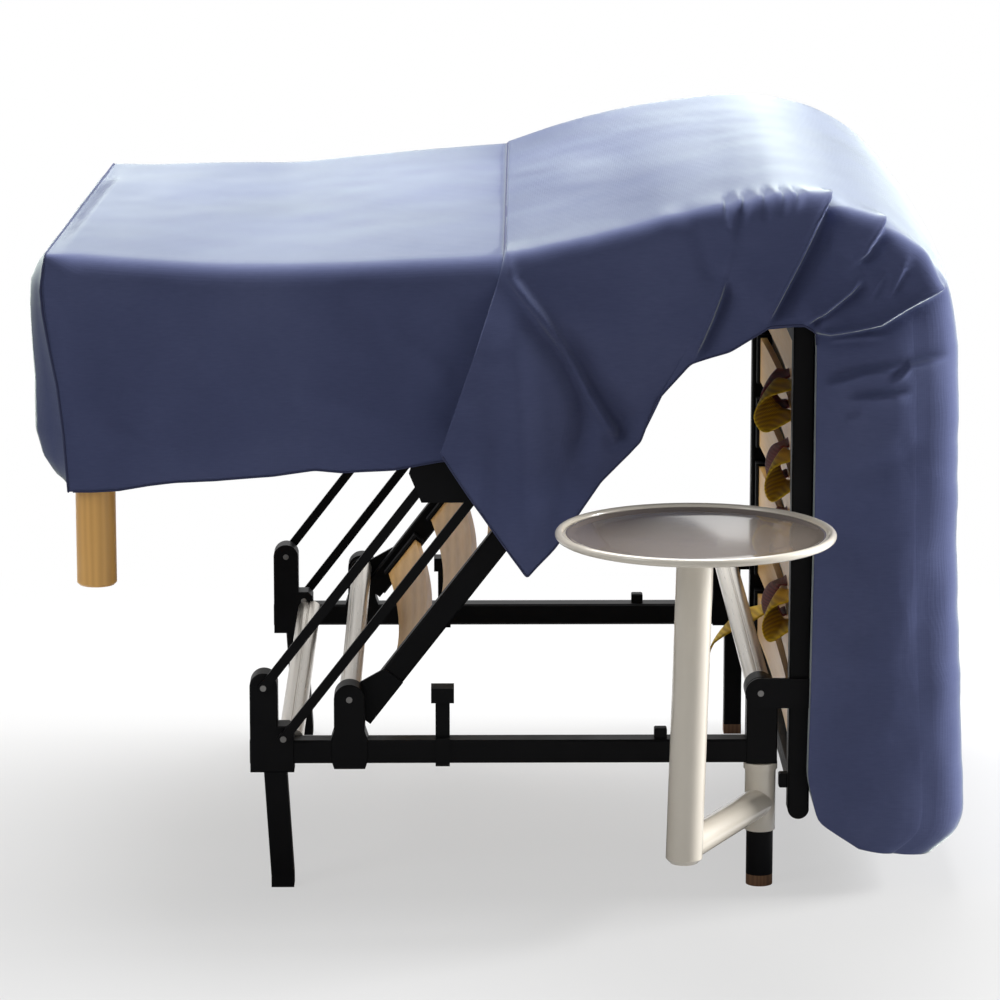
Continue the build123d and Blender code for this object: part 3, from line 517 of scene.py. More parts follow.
# %% [markdown]
# Now the sleeve itself. At each station it goes up the front side from the hem, turns over the front edge
# in a short curve, crosses the top, turns over the rear edge and goes down the rear side to the rear
# hem. Where it holds a mattress it also runs back underneath, so that it closes. I build it as a grid of
# points, rows along the bed and columns round the sleeve, because a grid keeps its faces even, and
# even faces take folds well.

# %% One section of a sleeve
EDGE_CURVE = 8


def turn_corner(before, corner, after, reach, count):
    """Places of a short curve that cuts a corner, reach from it on both sides."""
    start = corner + (before - corner) / np.linalg.norm(before - corner) * reach
    end = corner + (after - corner) / np.linalg.norm(after - corner) * reach
    t = np.linspace(0, 1, count)[:, None]
    return (1 - t) ** 2 * start + 2 * t * (1 - t) * corner + t**2 * end


def sleeve_section(top_front, top_rear, hem, half_width, reach, counts):
    """Places round one section, from the front hem over the top to the rear hem."""
    side_count, top_count, rear_count = counts
    hem_f = np.array([hem[0], -half_width, hem[1]])
    edge_f = np.array([top_front[0], -half_width, top_front[1]])
    edge_r = np.array([top_rear[0], half_width, top_rear[1]])
    hem_r = hem_f * (1, -1, 1)
    front_turn = turn_corner(hem_f, edge_f, edge_r, reach, EDGE_CURVE)
    rear_turn = turn_corner(edge_f, edge_r, hem_r, reach, EDGE_CURVE)
    front_side = np.linspace(hem_f, front_turn[0], side_count, endpoint=False)
    top = np.linspace(front_turn[-1], rear_turn[0], top_count + 2)[1:-1]
    rear_side = np.linspace(rear_turn[-1], hem_r, rear_count + 1)[1:]
    return np.vstack([front_side, front_turn, top, rear_turn, rear_side])


def grid_mesh(name, grid, closed_round=False, finish=blue_cotton):
    """A mesh of quads from a grid of places, rows by columns, in millimetres on the plan."""
    rows, columns, _ = grid.shape
    verts = [plan(*place) for place in grid.reshape(-1, 3)]
    faces = []
    for i in range(rows - 1):
        for j in range(columns if closed_round else columns - 1):
            k = (j + 1) % columns
            faces.append((i * columns + j, i * columns + k, (i + 1) * columns + k, (i + 1) * columns + j))
    mesh = bpy.data.meshes.new(name)
    mesh.from_pydata(verts, [], faces)
    mesh.materials.append(finish)
    return put_in_scene(name, mesh)


@contextmanager
def opened(piece):
    """A piece's mesh, open for changes that are written back at the end."""
    bm = bmesh.new()
    bm.from_mesh(piece.data)
    yield bm
    bm.to_mesh(piece.data)
    bm.free()


def tidy_mesh(piece, merge=0.00005):
    """Join points that coincide, turn every face outwards and shade it smoothly."""
    with opened(piece) as bm:
        bmesh.ops.remove_doubles(bm, verts=bm.verts, dist=merge)
        bmesh.ops.dissolve_degenerate(bm, edges=bm.edges, dist=merge / 2)
        bmesh.ops.recalc_face_normals(bm, faces=bm.faces)
        for face in bm.faces:
            face.smooth = True
    piece.data.update()


print("sleeve helpers ready, with", EDGE_CURVE, "places round an edge")

# %% [markdown]
# The part over the seat hangs almost straight, and its foot end is closed by a panel of its own, sewn
# on along the corners. These are the measured places, front and rear: the edge of the mattress above, and the
# hem below. The hem behind the flap can't be seen, so it simply runs on at the same height.

# %% Measured places of the seat cover
SEAT_TOP = [
    (-559, 816), (-512, 811), (-467, 807), (-369, 800), (-280, 798), (-209, 799), (-99, 804), (4, 808),
]
SEAT_TOP_REAR = [
    (-537, 819), (-470, 821), (-400, 823), (-340, 824), (-275, 825), (-190, 833), (-105, 841), (18, 851),
]
SEAT_HEM = [
    (-535, 519), (-508, 519), (-473, 521), (-436, 527), (-403, 531), (-354, 533), (-280, 539), (-230, 546),
    (-197, 543), (-132, 546), (-78, 556), (-24, 562),
]
SEAT_HEM_STATIONS = [(-536,), (-492,), (-447,), (-372,), (-290,), (-211,), (-124,), (-24,)]
SEAT_HALF_WIDTH = 430.0
SEAT_ROWS = 112
SEAT_COUNTS = (44, 44, 44)

seat_top = smooth_row(SEAT_TOP, SEAT_ROWS)
seat_top_rear = smooth_row(SEAT_TOP_REAR, SEAT_ROWS)
seat_hem_x = smooth_row(SEAT_HEM_STATIONS, SEAT_ROWS)[:, 0]
seat_hem = np.column_stack([seat_hem_x, np.interp(seat_hem_x, *np.array(SEAT_HEM).T)])
print("seat cover from x", SEAT_TOP[0][0], "to", SEAT_TOP[-1][0])

# %% [markdown]
# The corners at the foot are pulled tight over the mattress, so the edge there is sharp, and
# it softens along the bed. The corner seam itself wanders in and out by a few millimetres, and fades out
# within the first rows. The sides get long shallow folds that run down from the edge, a few drag lines
# towards the flap, a hollow beside it, and the small unevenness that every washed cover has. All of these
# fade in from the seam, which holds the cloth.

# %% Shape of the seat cover
SEAT_SWELLS = [
    ([(-522, 775), (-512, 680), (-502, 560)], 3.0, 24),
    ([(-430, 790), (-440, 660), (-445, 540)], -2.5, 30),
    ([(-330, 770), (-315, 660), (-300, 560)], 2.5, 36),
    ([(-260, 650), (-190, 622), (-120, 604)], 2.5, 16),
    ([(-210, 770), (-150, 725), (-80, 690)], -3.0, 22),
    ([(-150, 735), (-100, 690), (-60, 650)], 3.0, 15),
    ([(-505, 606), (-440, 580), (-380, 566)], 2.0, 13),
    ([(0, 790), (-26, 720), (-46, 660), (-62, 600)], -3.0, 24, (0.3, 0.95)),
]
CORNER_SEAM = [(500, 0), (595, 1), (653, -1), (697, -6), (743, -10), (771, -10), (800, -4), (816, 0)]
SEAM_ROWS = 14
FADE_RATE = 14
SHARP_EDGE, SOFTER, SHARP_SHARE = 12, 26, 0.14
SEAT_CROWN = 5
SIDE_ROUGH = 1.1


def seat_side(x, z, seed):
    """How far the hanging side of the seat stands out at each place, in millimetres."""
    out = np.zeros(len(x))
    places = np.column_stack([x, z])
    for line, *sizes in SEAT_SWELLS:
        out += swell(places, line, *sizes)
    return out + SIDE_ROUGH * washed(x, z, (seed * 50, 46, seed), (seed * 50, 19, seed + 9))


def edge_reach(row):
    """How far from the edge the cloth starts to turn, wider away from the foot."""
    return SHARP_EDGE + SOFTER * ease(row / (SEAT_ROWS * SHARP_SHARE))


rows = np.arange(SEAT_ROWS)
seat_grid = np.array([
    sleeve_section(seat_top[i], seat_top_rear[i], seat_hem[i], SEAT_HALF_WIDTH, edge_reach(i), SEAT_COUNTS)
    for i in rows
])
seam_push = np.interp(seat_grid[:, :, 2], *np.array(CORNER_SEAM, float).T)
seat_grid[:, :, 0] += seam_push * (1 - ease(rows / SEAM_ROWS))[:, None]
SIDE_FRONT = SEAT_COUNTS[0]
SIDE_REAR = seat_grid.shape[1] - SEAT_COUNTS[2]
hold = ease(np.linspace(0, 1, SEAT_ROWS)[:, None] * FADE_RATE + 0.05)
for columns, sign, seed in ((slice(0, SIDE_FRONT + 2), -1, 1), (slice(SIDE_REAR - 2, None), 1, 4)):
    part = seat_grid[:, columns]
    out = seat_side(part[:, :, 0].ravel(), part[:, :, 2].ravel(), seed).reshape(part.shape[:2])
    seat_grid[:, columns, 1] += sign * out * hold
across = np.clip((seat_grid[:, :, 1] + SEAT_HALF_WIDTH) / (2 * SEAT_HALF_WIDTH), 0, 1)
column = np.arange(seat_grid.shape[1])
on_top = (column >= SIDE_FRONT) & (column < SIDE_REAR)
crown = SEAT_CROWN * np.sin(np.pi * across) ** 0.8 * hold
cloudy = np.array([
    [2.2 * rumple(*place, 150, 3) + 0.8 * rumple(*place, 60, 5) for place in row] for row in seat_grid
])
seat_grid[:, :, 2] += on_top * (crown + cloudy * hold * np.sin(np.pi * across) ** 0.5)
print("seat cover grid", seat_grid.shape[:2])

# %% [markdown]
# The foot panel is a second grid. Its top row is the first section of the sleeve, its outer columns are that
# section's front and rear sides, and in between it bulges outwards as the mattress presses on it. Because
# both grids share those places, merging near points sews them together.

# %% Foot panel, sewn on
FOOT_BULGE = [
    (0, 0), (0.05, 13), (0.12, 20), (0.3, 26), (0.5, 32), (0.76, 40), (0.88, 33), (0.95, 20), (1, 2),
]
DEEPEST = 40
BELLY_EDGE = 0.075

first = seat_grid[0]
front_seam = first[: SIDE_FRONT + 1]
head_seam = first[SIDE_FRONT:SIDE_REAR]
rear_seam = first[SIDE_REAR - 1 :]
front_column = front_seam[::-1]


def between(start, end, share):
    """A place on the straight way between two."""
    return start * (1 - share) + end * share


def foot_place(edge, k):
    """One place of the foot panel, k steps down below a place on its upper edge."""
    down = k / (len(front_column) - 1)
    share = np.clip((edge[1] - head_seam[0, 1]) / (head_seam[-1, 1] - head_seam[0, 1]), 0, 1)
    place = between(front_column[k], rear_seam[k], share)
    place = place + (edge - between(head_seam[0], head_seam[-1], share)) * (1 - down) ** 6
    bulge = np.interp(down, *np.array(FOOT_BULGE).T)
    belly = ease(min(share, 1 - share) / BELLY_EDGE)
    wave = 2.5 * math.sin(share * 31) * down + 1.5 * rumple(*place, 60, 12)
    return place - ((bulge + wave * (0.3 + bulge / DEEPEST)) * belly, 0, 0)


foot_grid = np.array([[foot_place(edge, k) for k in range(len(front_column))] for edge in head_seam])
print("foot panel grid", foot_grid.shape[:2])

# %% [markdown]
# Two grids become one cloth: they are joined, near points are merged along the corner seams, and a thin
# second layer makes it three millimetres thick, because a sheet with no thickness has no hem to catch
# the light. The layer goes inwards, so the outside stays where it was measured.

# %% Seat cover, sewn together
CLOTH = 0.003
SEWN_WITHIN = 0.0002
INSIDE_COVER = (-270, 0, 620)


def join_pieces(pieces, name):
    """Put several pieces into one mesh."""
    bm = bmesh.new()
    for piece in pieces:
        bm.from_mesh(piece.data)
    mesh = bpy.data.meshes.new(name)
    bm.to_mesh(mesh)
    bm.free()
    mesh.materials.append(pieces[0].data.materials[0])
    joined = put_in_scene(name, mesh)
    for piece in pieces:
        bpy.data.objects.remove(piece)
    return joined


def thicken(piece, thickness, offset):
    """Give a sheet its thickness, inwards for an offset of -1 and to both sides for 0."""
    layer = piece.modifiers.new("thickness", "SOLIDIFY")
    layer.thickness = thickness
    layer.offset = offset
    shown = piece.evaluated_get(bpy.context.evaluated_depsgraph_get())
    mesh = bpy.data.meshes.new_from_object(shown)
    piece.modifiers.clear()
    piece.data = mesh


def face_outwards(piece, centre):
    """Turn an open cloth so that its outside looks away from a place in its middle."""
    with opened(piece) as bm:
        bmesh.ops.recalc_face_normals(bm, faces=bm.faces)
        votes = sum(1 if face.normal.dot(face.calc_center_median() - centre) > 0 else -1 for face in bm.faces)
        if votes < 0:
            bmesh.ops.reverse_faces(bm, faces=bm.faces)


seat_parts = [grid_mesh("seat_sleeve", seat_grid), grid_mesh("seat_foot", foot_grid)]
seat_cover = join_pieces(seat_parts, "seat_cover")
tidy_mesh(seat_cover, merge=SEWN_WITHIN)
face_outwards(seat_cover, plan(*INSIDE_COVER))
thicken(seat_cover, CLOTH, -1)
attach(seat_cover, "seat")
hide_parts("cover_skirt")

# %% [markdown]
# Under the cover lies the mattress. It shows only from below, through the slats, but it is what holds the
# cover up, so it is there: a block of foam in pale ticking with rounded, slightly bulging sides. Its foot
# end runs a little askew, like the cover's.

# %% Seat mattress
PAD_LEFT, PAD_RIGHT = -553.0, 2.0
PAD_LOW = 705.0
PAD_HALF_WIDTH = 421.0
PAD_SKEW = 20.0
PAD_SIDES = 96
UNDER_COVER = 7
END_DRAWS = [26, 15, 7, 2.5]
END_SHARES = [0, 0.004, 0.012, 0.028]
STRAIGHT_ROWS = 28


def pad_section(x, draw):
    """Places round the mattress at one station, drawn in towards its ends."""
    low = PAD_LOW + draw * 0.6
    high = np.interp(x, seat_top[:, 0], seat_top[:, 1]) - UNDER_COVER - draw
    middle = (low + high) / 2
    tall = (high - low) / 2
    wide = PAD_HALF_WIDTH - draw
    section = []
    for turn in np.linspace(0, 2 * np.pi, PAD_SIDES, endpoint=False):
        c, s = np.cos(turn), np.sin(turn)
        square = (abs(c) ** 14 + abs(s) ** 5) ** (-1 / 9)
        section.append((x, wide * np.clip(c * square, -1, 1), middle + tall * np.clip(s * square, -1, 1)))
    return section


pad_spots = np.concatenate([END_SHARES, np.linspace(0.06, 0.94, STRAIGHT_ROWS), [0.972, 0.988, 0.996, 1]])
pad_draws = np.concatenate([END_DRAWS, np.zeros(STRAIGHT_ROWS), END_DRAWS[::-1]])
pad_places = PAD_LEFT + (PAD_RIGHT - PAD_LEFT) * pad_spots
pad_grid = np.array([pad_section(x, draw) for x, draw in zip(pad_places, pad_draws)])
toward_rear = (pad_grid[:, :, 1] + PAD_HALF_WIDTH) / (2 * PAD_HALF_WIDTH)
pad_grid[:, :, 0] += PAD_SKEW * toward_rear * (1 - pad_spots)[:, None]


def close_ends(piece):
    """Cap the open ends of a tube-like mesh."""
    with opened(piece) as bm:
        bmesh.ops.holes_fill(bm, edges=[edge for edge in bm.edges if edge.is_boundary], sides=0)
        bmesh.ops.triangulate(bm, faces=[face for face in bm.faces if len(face.verts) > 4])


seat_pad = grid_mesh("seat_pad", pad_grid, closed_round=True, finish=ticking)
close_ends(seat_pad)
tidy_mesh(seat_pad)
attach(seat_pad, "seat")
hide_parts("seat_mattress")
print("mattress:", len(seat_pad.data.polygons), "faces")

# %% [markdown]
# ## The hump
#
# The rest of the mattress humps over the top of the back panel and hangs down behind it. The cover goes with
# it: on the left a loose corner of it hangs like a flap, beyond the panel it tucks in and wraps the
# mattress all the way down. It is one closed piece, drawn by the same kind of section with an
# inside. These are its places, from the seam down to the foot of the hanging part.

# %% Measured places of the hump
HUMP_TOP = [
    (6, 808), (73, 823), (138, 838), (208, 858), (275, 873), (310, 880), (342, 884), (385, 880),
    (430, 867), (467, 849), (500, 826), (525, 804), (551, 773), (563, 720), (569, 633), (572, 430),
    (579, 251), (586, 134), (582, 80), (549, 45),
]
HUMP_TOP_REAR = [
    (20, 852), (92, 876), (150, 892), (215, 905), (289, 915), (330, 918), (365, 917), (405, 911),
    (445, 900), (487, 878), (520, 850), (552, 812), (582, 765), (594, 715), (599, 633), (600, 430),
    (599, 251), (593, 134), (585, 80), (550, 45),
]
HUMP_HEM = [
    (-75, 577), (-31, 508), (33, 413), (68, 450), (124, 533), (173, 583), (191, 633), (234, 681),
    (283, 696), (332, 727), (373, 729), (384, 722), (390, 716), (391, 690), (391, 608), (391, 431),
    (389, 251), (387, 147), (400, 92), (454, 56),
]
HUMP_UNDER = [
    (9, 705), (35, 705), (70, 705), (95, 706), (130, 708), (175, 710), (210, 712), (250, 714),
    (290, 716), (332, 719), (364, 722), (378, 722), (390, 716), (391, 690), (391, 608), (391, 431),
    (389, 251), (387, 147), (400, 92), (454, 56),
]
HUMP_ROWS = 380
HUMP_COUNTS = (96, 56, 44)
FOLDED_FROM, FOLDED_TO, FINER = 0.5, 14.5, 2.4
CORNER_ROWS = 3


def soften(row, width):
    """Average each place with its neighbours, for corners that are rounded but still corners."""
    kernel = np.exp(-np.linspace(-2, 2, 2 * width + 1) ** 2)
    kernel /= kernel.sum()
    padded = np.vstack([row[:1].repeat(width, 0), row, row[-1:].repeat(width, 0)])
    return np.column_stack([np.convolve(padded[:, c], kernel, "valid") for c in range(row.shape[1])])


def straight_along(places, spots):
    """Places on the straight lines between the given ones, at spots counted from the first of them."""
    return np.column_stack([np.interp(spots, range(len(places)), values) for values in np.array(places).T])


longest = np.maximum(np.hypot(*np.diff(HUMP_TOP, axis=0).T), np.hypot(*np.diff(HUMP_HEM, axis=0).T))
stations = np.arange(len(HUMP_TOP))
finer = np.where((stations[1:] > FOLDED_FROM) & (stations[1:] < FOLDED_TO), FINER, 1.0)
counted = np.concatenate([[0], np.cumsum(longest * finer)])
spots = np.interp(np.linspace(0, counted[-1], HUMP_ROWS), counted, stations)
hump_top = along_stations(HUMP_TOP, spots)
hump_top_rear = along_stations(HUMP_TOP_REAR, spots)
hem_row = soften(straight_along(HUMP_HEM, spots), CORNER_ROWS)
under_row = soften(straight_along(HUMP_UNDER, spots), CORNER_ROWS)
print("hump of", HUMP_ROWS, "rows over", round(longest.sum()), "mm")

# %% [markdown]
# These are the folds of the hump's front. The longest is a narrow ridge that runs down from the seam, with
# a deep valley on both sides: left of it hangs the flap, right of it the cloth falls back into shade. Three
# laps fan out from the inner corner where the cloth turns down, with short puckers above them, and one long
# lap is where the overhang lies over the hanging part. Below it, wrinkles cross the padded face.

# %% Folds of the hump
HUMP_CREASES = [
    ([(238, 683), (251, 710), (263, 739), (272, 763), (280, 790)], 10, 14, 26, 14, (0.3, 0.75)),
    ([(329, 728), (349, 767), (370, 808), (386, 841), (399, 870), (407, 893)], 14, 17, 34, 16, (0.2, 0.9)),
    ([(374, 726), (407, 749), (432, 769), (450, 788)], 11, 12, 24, 14, (0.25, 0.75)),
    ([(432, 800), (452, 817), (468, 845), (473, 864)], 9, 11, 20, 12, (0.4, 0.75)),
    (
        [(386, 718), (407, 715), (436, 720), (469, 728), (497, 745), (526, 761), (547, 771)],
        17, 6, 40, 18, (0.06, 0.92),
    ),
    ([(481, 759), (485, 771), (497, 796), (499, 817)], 5, 5, 14, 10, (0.4, 0.6)),
    ([(456, 755), (475, 796)], 4, 4, 14, 10, (0.4, 0.6)),
    ([(505, 679), (448, 669), (399, 652)], 7, 9, 16, 11, (0.3, 0.7)),
    ([(551, 685), (528, 683), (505, 679), (477, 652)], 7, 8, 14, 11, (0.3, 0.7)),
    ([(510, 644), (460, 640), (423, 636)], 6, 8, 14, 10, (0.3, 0.6)),
    ([(448, 617), (423, 611)], 3, 3, 10, 8, (0.3, 0.6)),
    ([(404, 704), (440, 708), (480, 712)], 3, 3, 14, 10, (0.3, 0.6)),
]
HUMP_SWELLS = [
    (
        [(8, 813), (12, 789), (34, 761), (49, 743), (74, 706), (92, 675), (111, 638), (136, 601), (148, 582)],
        19, 6.5, (0.2, 0.93),
    ),
    ([(60, 738), (86, 706), (117, 656), (148, 607), (152, 570)], -20, 20, (0.4, 0.85)),
    ([(30, 750), (45, 728), (74, 693), (98, 644), (106, 607), (98, 537)], -13, 15, (0.3, 0.7)),
    ([(16, 780), (20, 740), (25, 675), (31, 552), (37, 429)], 12, 22, (0.3, 0.9)),
    ([(205, 874), (243, 845), (259, 788), (259, 750)], -5, 13, (0.3, 0.7)),
    ([(280, 862), (281, 829), (271, 788)], 5, 10, (0.3, 0.7)),
    ([(281, 905), (280, 886), (279, 866), (286, 845)], -8, 6, (0.1, 0.5)),
    ([(305, 905), (302, 880), (288, 829)], -7, 6, (0.1, 0.5)),
    ([(325, 905), (327, 850)], -6, 5.5, (0.1, 0.5)),
    ([(347, 905), (350, 860)], -6, 5, (0.1, 0.5)),
    ([(367, 905), (363, 865)], -6, 5, (0.1, 0.5)),
    ([(392, 180), (440, 190), (500, 230), (540, 250)], 3, 26, (0.3, 0.6)),
    ([(388, 318), (430, 300), (480, 296)], 2.5, 26, (0.3, 0.6)),
    ([(430, 540), (470, 548), (530, 575)], -3, 16, (0.3, 0.6)),
    ([(560, 470), (545, 400), (535, 330)], -4, 20, (0.3, 0.6)),
    ([(565, 300), (540, 220), (520, 150)], 4, 22, (0.3, 0.6)),
]
LOOSE_UNTIL, FLAP_UNTIL, PADDED_FROM = 10.5, 0.4, 11.8
FLAP_STAND = 34
COLUMN_BULGE = 11
HUMP_ROUGH = 1.4


def hump_side(x, z, station, down):
    """How far the front of the hump stands out, in millimetres. Down is 0 at the edge and 1 at the hem."""
    places = np.column_stack([x, z])
    out = np.zeros(len(x))
    for line, *sizes in HUMP_CREASES:
        out += crease(places, line, *sizes)
    for line, *sizes in HUMP_SWELLS:
        out += swell(places, line, *sizes)
    loose = 1 - ease((station - LOOSE_UNTIL) / 1.5)
    flap = 1 - ease((station - FLAP_UNTIL) / 2.2)
    padded_side = ease((station - PADDED_FROM) / 1.2)
    out += loose * (4 + 8 * down) + flap * FLAP_STAND * ease(down * 2.2)
    out += padded_side * COLUMN_BULGE * np.sin(np.pi * np.clip(down, 0, 1)) ** 0.6 * ease((x - 400) / 100)
    return out + HUMP_ROUGH * washed(x, z, (7, 42, 21), (9, 17, 23))


print(len(HUMP_CREASES), "creases and", len(HUMP_SWELLS), "swells on the hump")

# %% [markdown]
# Each row of the hump is a section with its folds added, closed by an inside: flat walls behind the
# hanging sides, and the flat underside of the mattress between them. On the front side a fold pushes the
# cloth out, and round the edge it turns upwards and fades, which makes the puckers. Rear and front differ,
# since nobody arranged the rear, so its folds are shifted and shallower.

# %% Hump, built row by row
HUMP_HALF_WIDTH = 431.0
HUMP_CLOTH = 4.0
UNDER_COUNT = 20
INSIDE_COUNT = 24
INSIDE_DEPTH = 16.0
HEM_SHARE = 0.14
PUCKER_COLUMNS = 5
BESIDE_EDGE = 3
REAR_DEPTH = 0.55
REAR_STRETCH, REAR_SHIFT, REAR_LIFT = 0.9, 24, 12
HUMP_CROWN = 7
HUMP_EDGE, COLUMN_SOFTER = 26, 28
FRONT_COLUMNS, _, REAR_COLUMNS = HUMP_COUNTS


def hump_outside(i, away):
    """The places of the cloth at one row, from the front hem to the rear hem, with their folds."""
    station = spots[i]
    reach = HUMP_EDGE + COLUMN_SOFTER * ease((station - 11) / 2)
    places = sleeve_section(hump_top[i], hump_top_rear[i], hem_row[i], HUMP_HALF_WIDTH, reach, HUMP_COUNTS)

    front = slice(0, FRONT_COLUMNS + EDGE_CURVE + PUCKER_COLUMNS)
    column = np.arange(front.stop)
    down = np.clip(1 - column / (FRONT_COLUMNS + BESIDE_EDGE - 1), 0, 1)
    tilt = np.clip((column - FRONT_COLUMNS) / EDGE_CURVE, 0, 1) * np.pi / 2
    stand = hump_side(places[front, 0], places[front, 2], station, down)
    stand *= ease((front.stop - column) / (PUCKER_COLUMNS + 3))
    lift = stand * np.sin(tilt)
    places[front] += np.column_stack([lift * away[0], -stand * np.cos(tilt), lift * away[1]])

    rear = slice(-REAR_COLUMNS - BESIDE_EDGE, None)
    column = np.arange(REAR_COLUMNS + BESIDE_EDGE)
    down = column / column[-1]
    stand = hump_side(places[rear, 0] * REAR_STRETCH + REAR_SHIFT, places[rear, 2] + REAR_LIFT, station, down)
    places[rear, 1] += stand * REAR_DEPTH * ease(column / 4)

    top = slice(FRONT_COLUMNS, -REAR_COLUMNS)
    arch = np.sin(np.pi * np.clip((places[top, 1] + HUMP_HALF_WIDTH) / (2 * HUMP_HALF_WIDTH), 0, 1))
    puff = np.array([2.4 * rumple(*place, 170, 31) + 0.9 * rumple(*place, 60, 33) for place in places[top]])
    lift = (HUMP_CROWN * arch**0.7 + puff * arch**0.4) * ease((spots[-1] - station) / 0.8)
    places[top, 0] += away[0] * lift
    places[top, 2] += away[1] * lift
    return places


def hump_row(i):
    """All the places round the hump at one row, the cloth and its inside."""
    away = hump_top[i] - under_row[i]
    away /= np.linalg.norm(away)
    outside = hump_outside(i, away)
    front_in = outside[0] + (0, HUMP_CLOTH, 0)
    rear_in = outside[-1] - (0, HUMP_CLOTH, 0)
    wall = HUMP_HALF_WIDTH - INSIDE_DEPTH
    under_front = np.array([under_row[i][0], -wall, under_row[i][1]])
    under_rear = under_front * (1, -1, 1)
    share = np.linspace(0, 1, INSIDE_COUNT)[:, None]
    hem = ease((share[:, 0] - (1 - HEM_SHARE)) / HEM_SHARE)
    front_down = between(under_front, front_in, share)
    front_down[:, 1] = between(-wall, front_in[1], hem)
    rear_up = between(rear_in, under_rear, share)
    rear_up[:, 1] = between(wall, rear_in[1], hem[::-1])
    under = np.linspace(under_rear, under_front, UNDER_COUNT)[1:-1]
    return np.vstack([outside, rear_up, under, front_down])


hump_grid = np.array([hump_row(i) for i in range(HUMP_ROWS)])
hump = grid_mesh("hump", hump_grid, closed_round=True)
close_ends(hump)
tidy_mesh(hump)
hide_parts("mattress_middle", "mattress_head", "cover_flap")
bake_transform(hump)
print("hump:", len(hump.data.polygons), "faces")

# %% [markdown]
# Seams tell how the cover was made. A thin line of thread runs down both corners of the foot panel, along its
# top edge, and across the bed where the two lengths meet. A real seam is a line of shade with a thread
# in it, so a fine dark tube lying half in the cloth does for both. The turned edges along the hems are
# drawn in the same way.

# %% Seams and hems
SEAM_SIDES = 6
CORNER_SEAM_RADIUS, HEAD_SEAM_RADIUS, JOINT_SEAM_RADIUS, HEM_RADIUS = 1.5, 1.1, 1.8, 1.3
FLAP_ROWS = int(np.searchsorted(spots, 12.6))
HUMP_LAST = sum(HUMP_COUNTS) + 2 * EDGE_CURVE - 1
# Seam and hem tubes are darker than the cloth: thread colour together with the painted shade of the seam or
# turned edge.
seam_thread_and_shade, _, _ = new_finish("seam_thread_and_shade", (0.035, 0.042, 0.1), 0.9)


def tube_along(name, places, radius):
    """A thin tube along a row of places in millimetres on the plan."""
    places = np.array(places, float)
    ways = np.gradient(places, axis=0)
    ways /= np.linalg.norm(ways, axis=1)[:, None]
    rings = []
    for place, way in zip(places, ways):
        first_side = np.cross(way, (0.0, 0.31, 0.95))
        first_side /= np.linalg.norm(first_side)
        second_side = np.cross(way, first_side)
        ring = [
            place + radius * (math.cos(a) * first_side + math.sin(a) * second_side)
            for a in np.linspace(0, 2 * math.pi, SEAM_SIDES, endpoint=False)
        ]
        rings.append(ring)
    piece = grid_mesh(name, np.array(rings), closed_round=True, finish=seam_thread_and_shade)
    close_ends(piece)
    tidy_mesh(piece)
    return piece


joint_row = seat_grid[-1][SIDE_FRONT - 4 : SIDE_REAR + 4] + (1.5, 0, 0)
cover_seams = join_pieces([
    tube_along("seam_front", front_seam, CORNER_SEAM_RADIUS),
    tube_along("seam_rear", rear_seam, CORNER_SEAM_RADIUS),
    tube_along("seam_head", head_seam, HEAD_SEAM_RADIUS),
    tube_along("seam_joint", joint_row, JOINT_SEAM_RADIUS),
    tube_along("hem_front", seat_grid[2:-2, 0], HEM_RADIUS),
    tube_along("hem_rear", seat_grid[2:-2, -1], HEM_RADIUS),
    tube_along("hem_foot", foot_grid[:, -1], HEM_RADIUS),
], "cover_seams")
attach(cover_seams, "seat")
hump_hem = join_pieces([
    tube_along("hump_hem_front", hump_grid[2:FLAP_ROWS, 0], HEM_RADIUS),
    tube_along("hump_hem_rear", hump_grid[2:FLAP_ROWS, HUMP_LAST], HEM_RADIUS),
], "hump_hem")
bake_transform(hump_hem)
print("seams:", len(cover_seams.data.polygons), "faces")

# %% [markdown]
# The webbing is elastic tape that holds the mattress to the slats. It runs behind each slat and bulges out
# loosely through the gap above it, so from the seat's side it shows as a column of loops. Each loop has its
# own depth and twist, and the yellow tape also has an end that hangs out below.

# %% Webbing, woven through the slats
SLAT_Z = [180.625 + 92.25 * n for n in range(6)]
SLAT_BACK = 384.5
PLACES_A_STEP = 9
TAPE_THICKNESS = 0.0016
LOOP_PLACES = [(378, 0, -20, 0), (372, 0.6, -26, 1), (370, 1, -6, 1), (372, 0.7, 15, 0.7), (378, 0, 21, 0)]
BELOW_SLAT, BEHIND_SLAT, FIRST_END = 8, 12, 24
TAPE_COLUMNS, TAPE_SAG = 9, 2.5
TWISTED_X, TWISTED_Z = 0.8, 0.7


def tape_along(name, path, y, half_width, finish):
    """A band of tape along places of x, z and twist, with its edges a little forward of its middle."""
    across = np.linspace(-1, 1, TAPE_COLUMNS)
    sag = -TAPE_SAG * (1 - across**2)
    grid = [
        np.column_stack([
            x + sag + TWISTED_X * twist * across, y + half_width * across, z + TWISTED_Z * twist * across
        ])
        for x, z, twist in smooth_row(path, PLACES_A_STEP * len(path))
    ]
    piece = grid_mesh(name, np.array(grid), finish=finish)
    tidy_mesh(piece)
    thicken(piece, TAPE_THICKNESS, 0)
    return piece


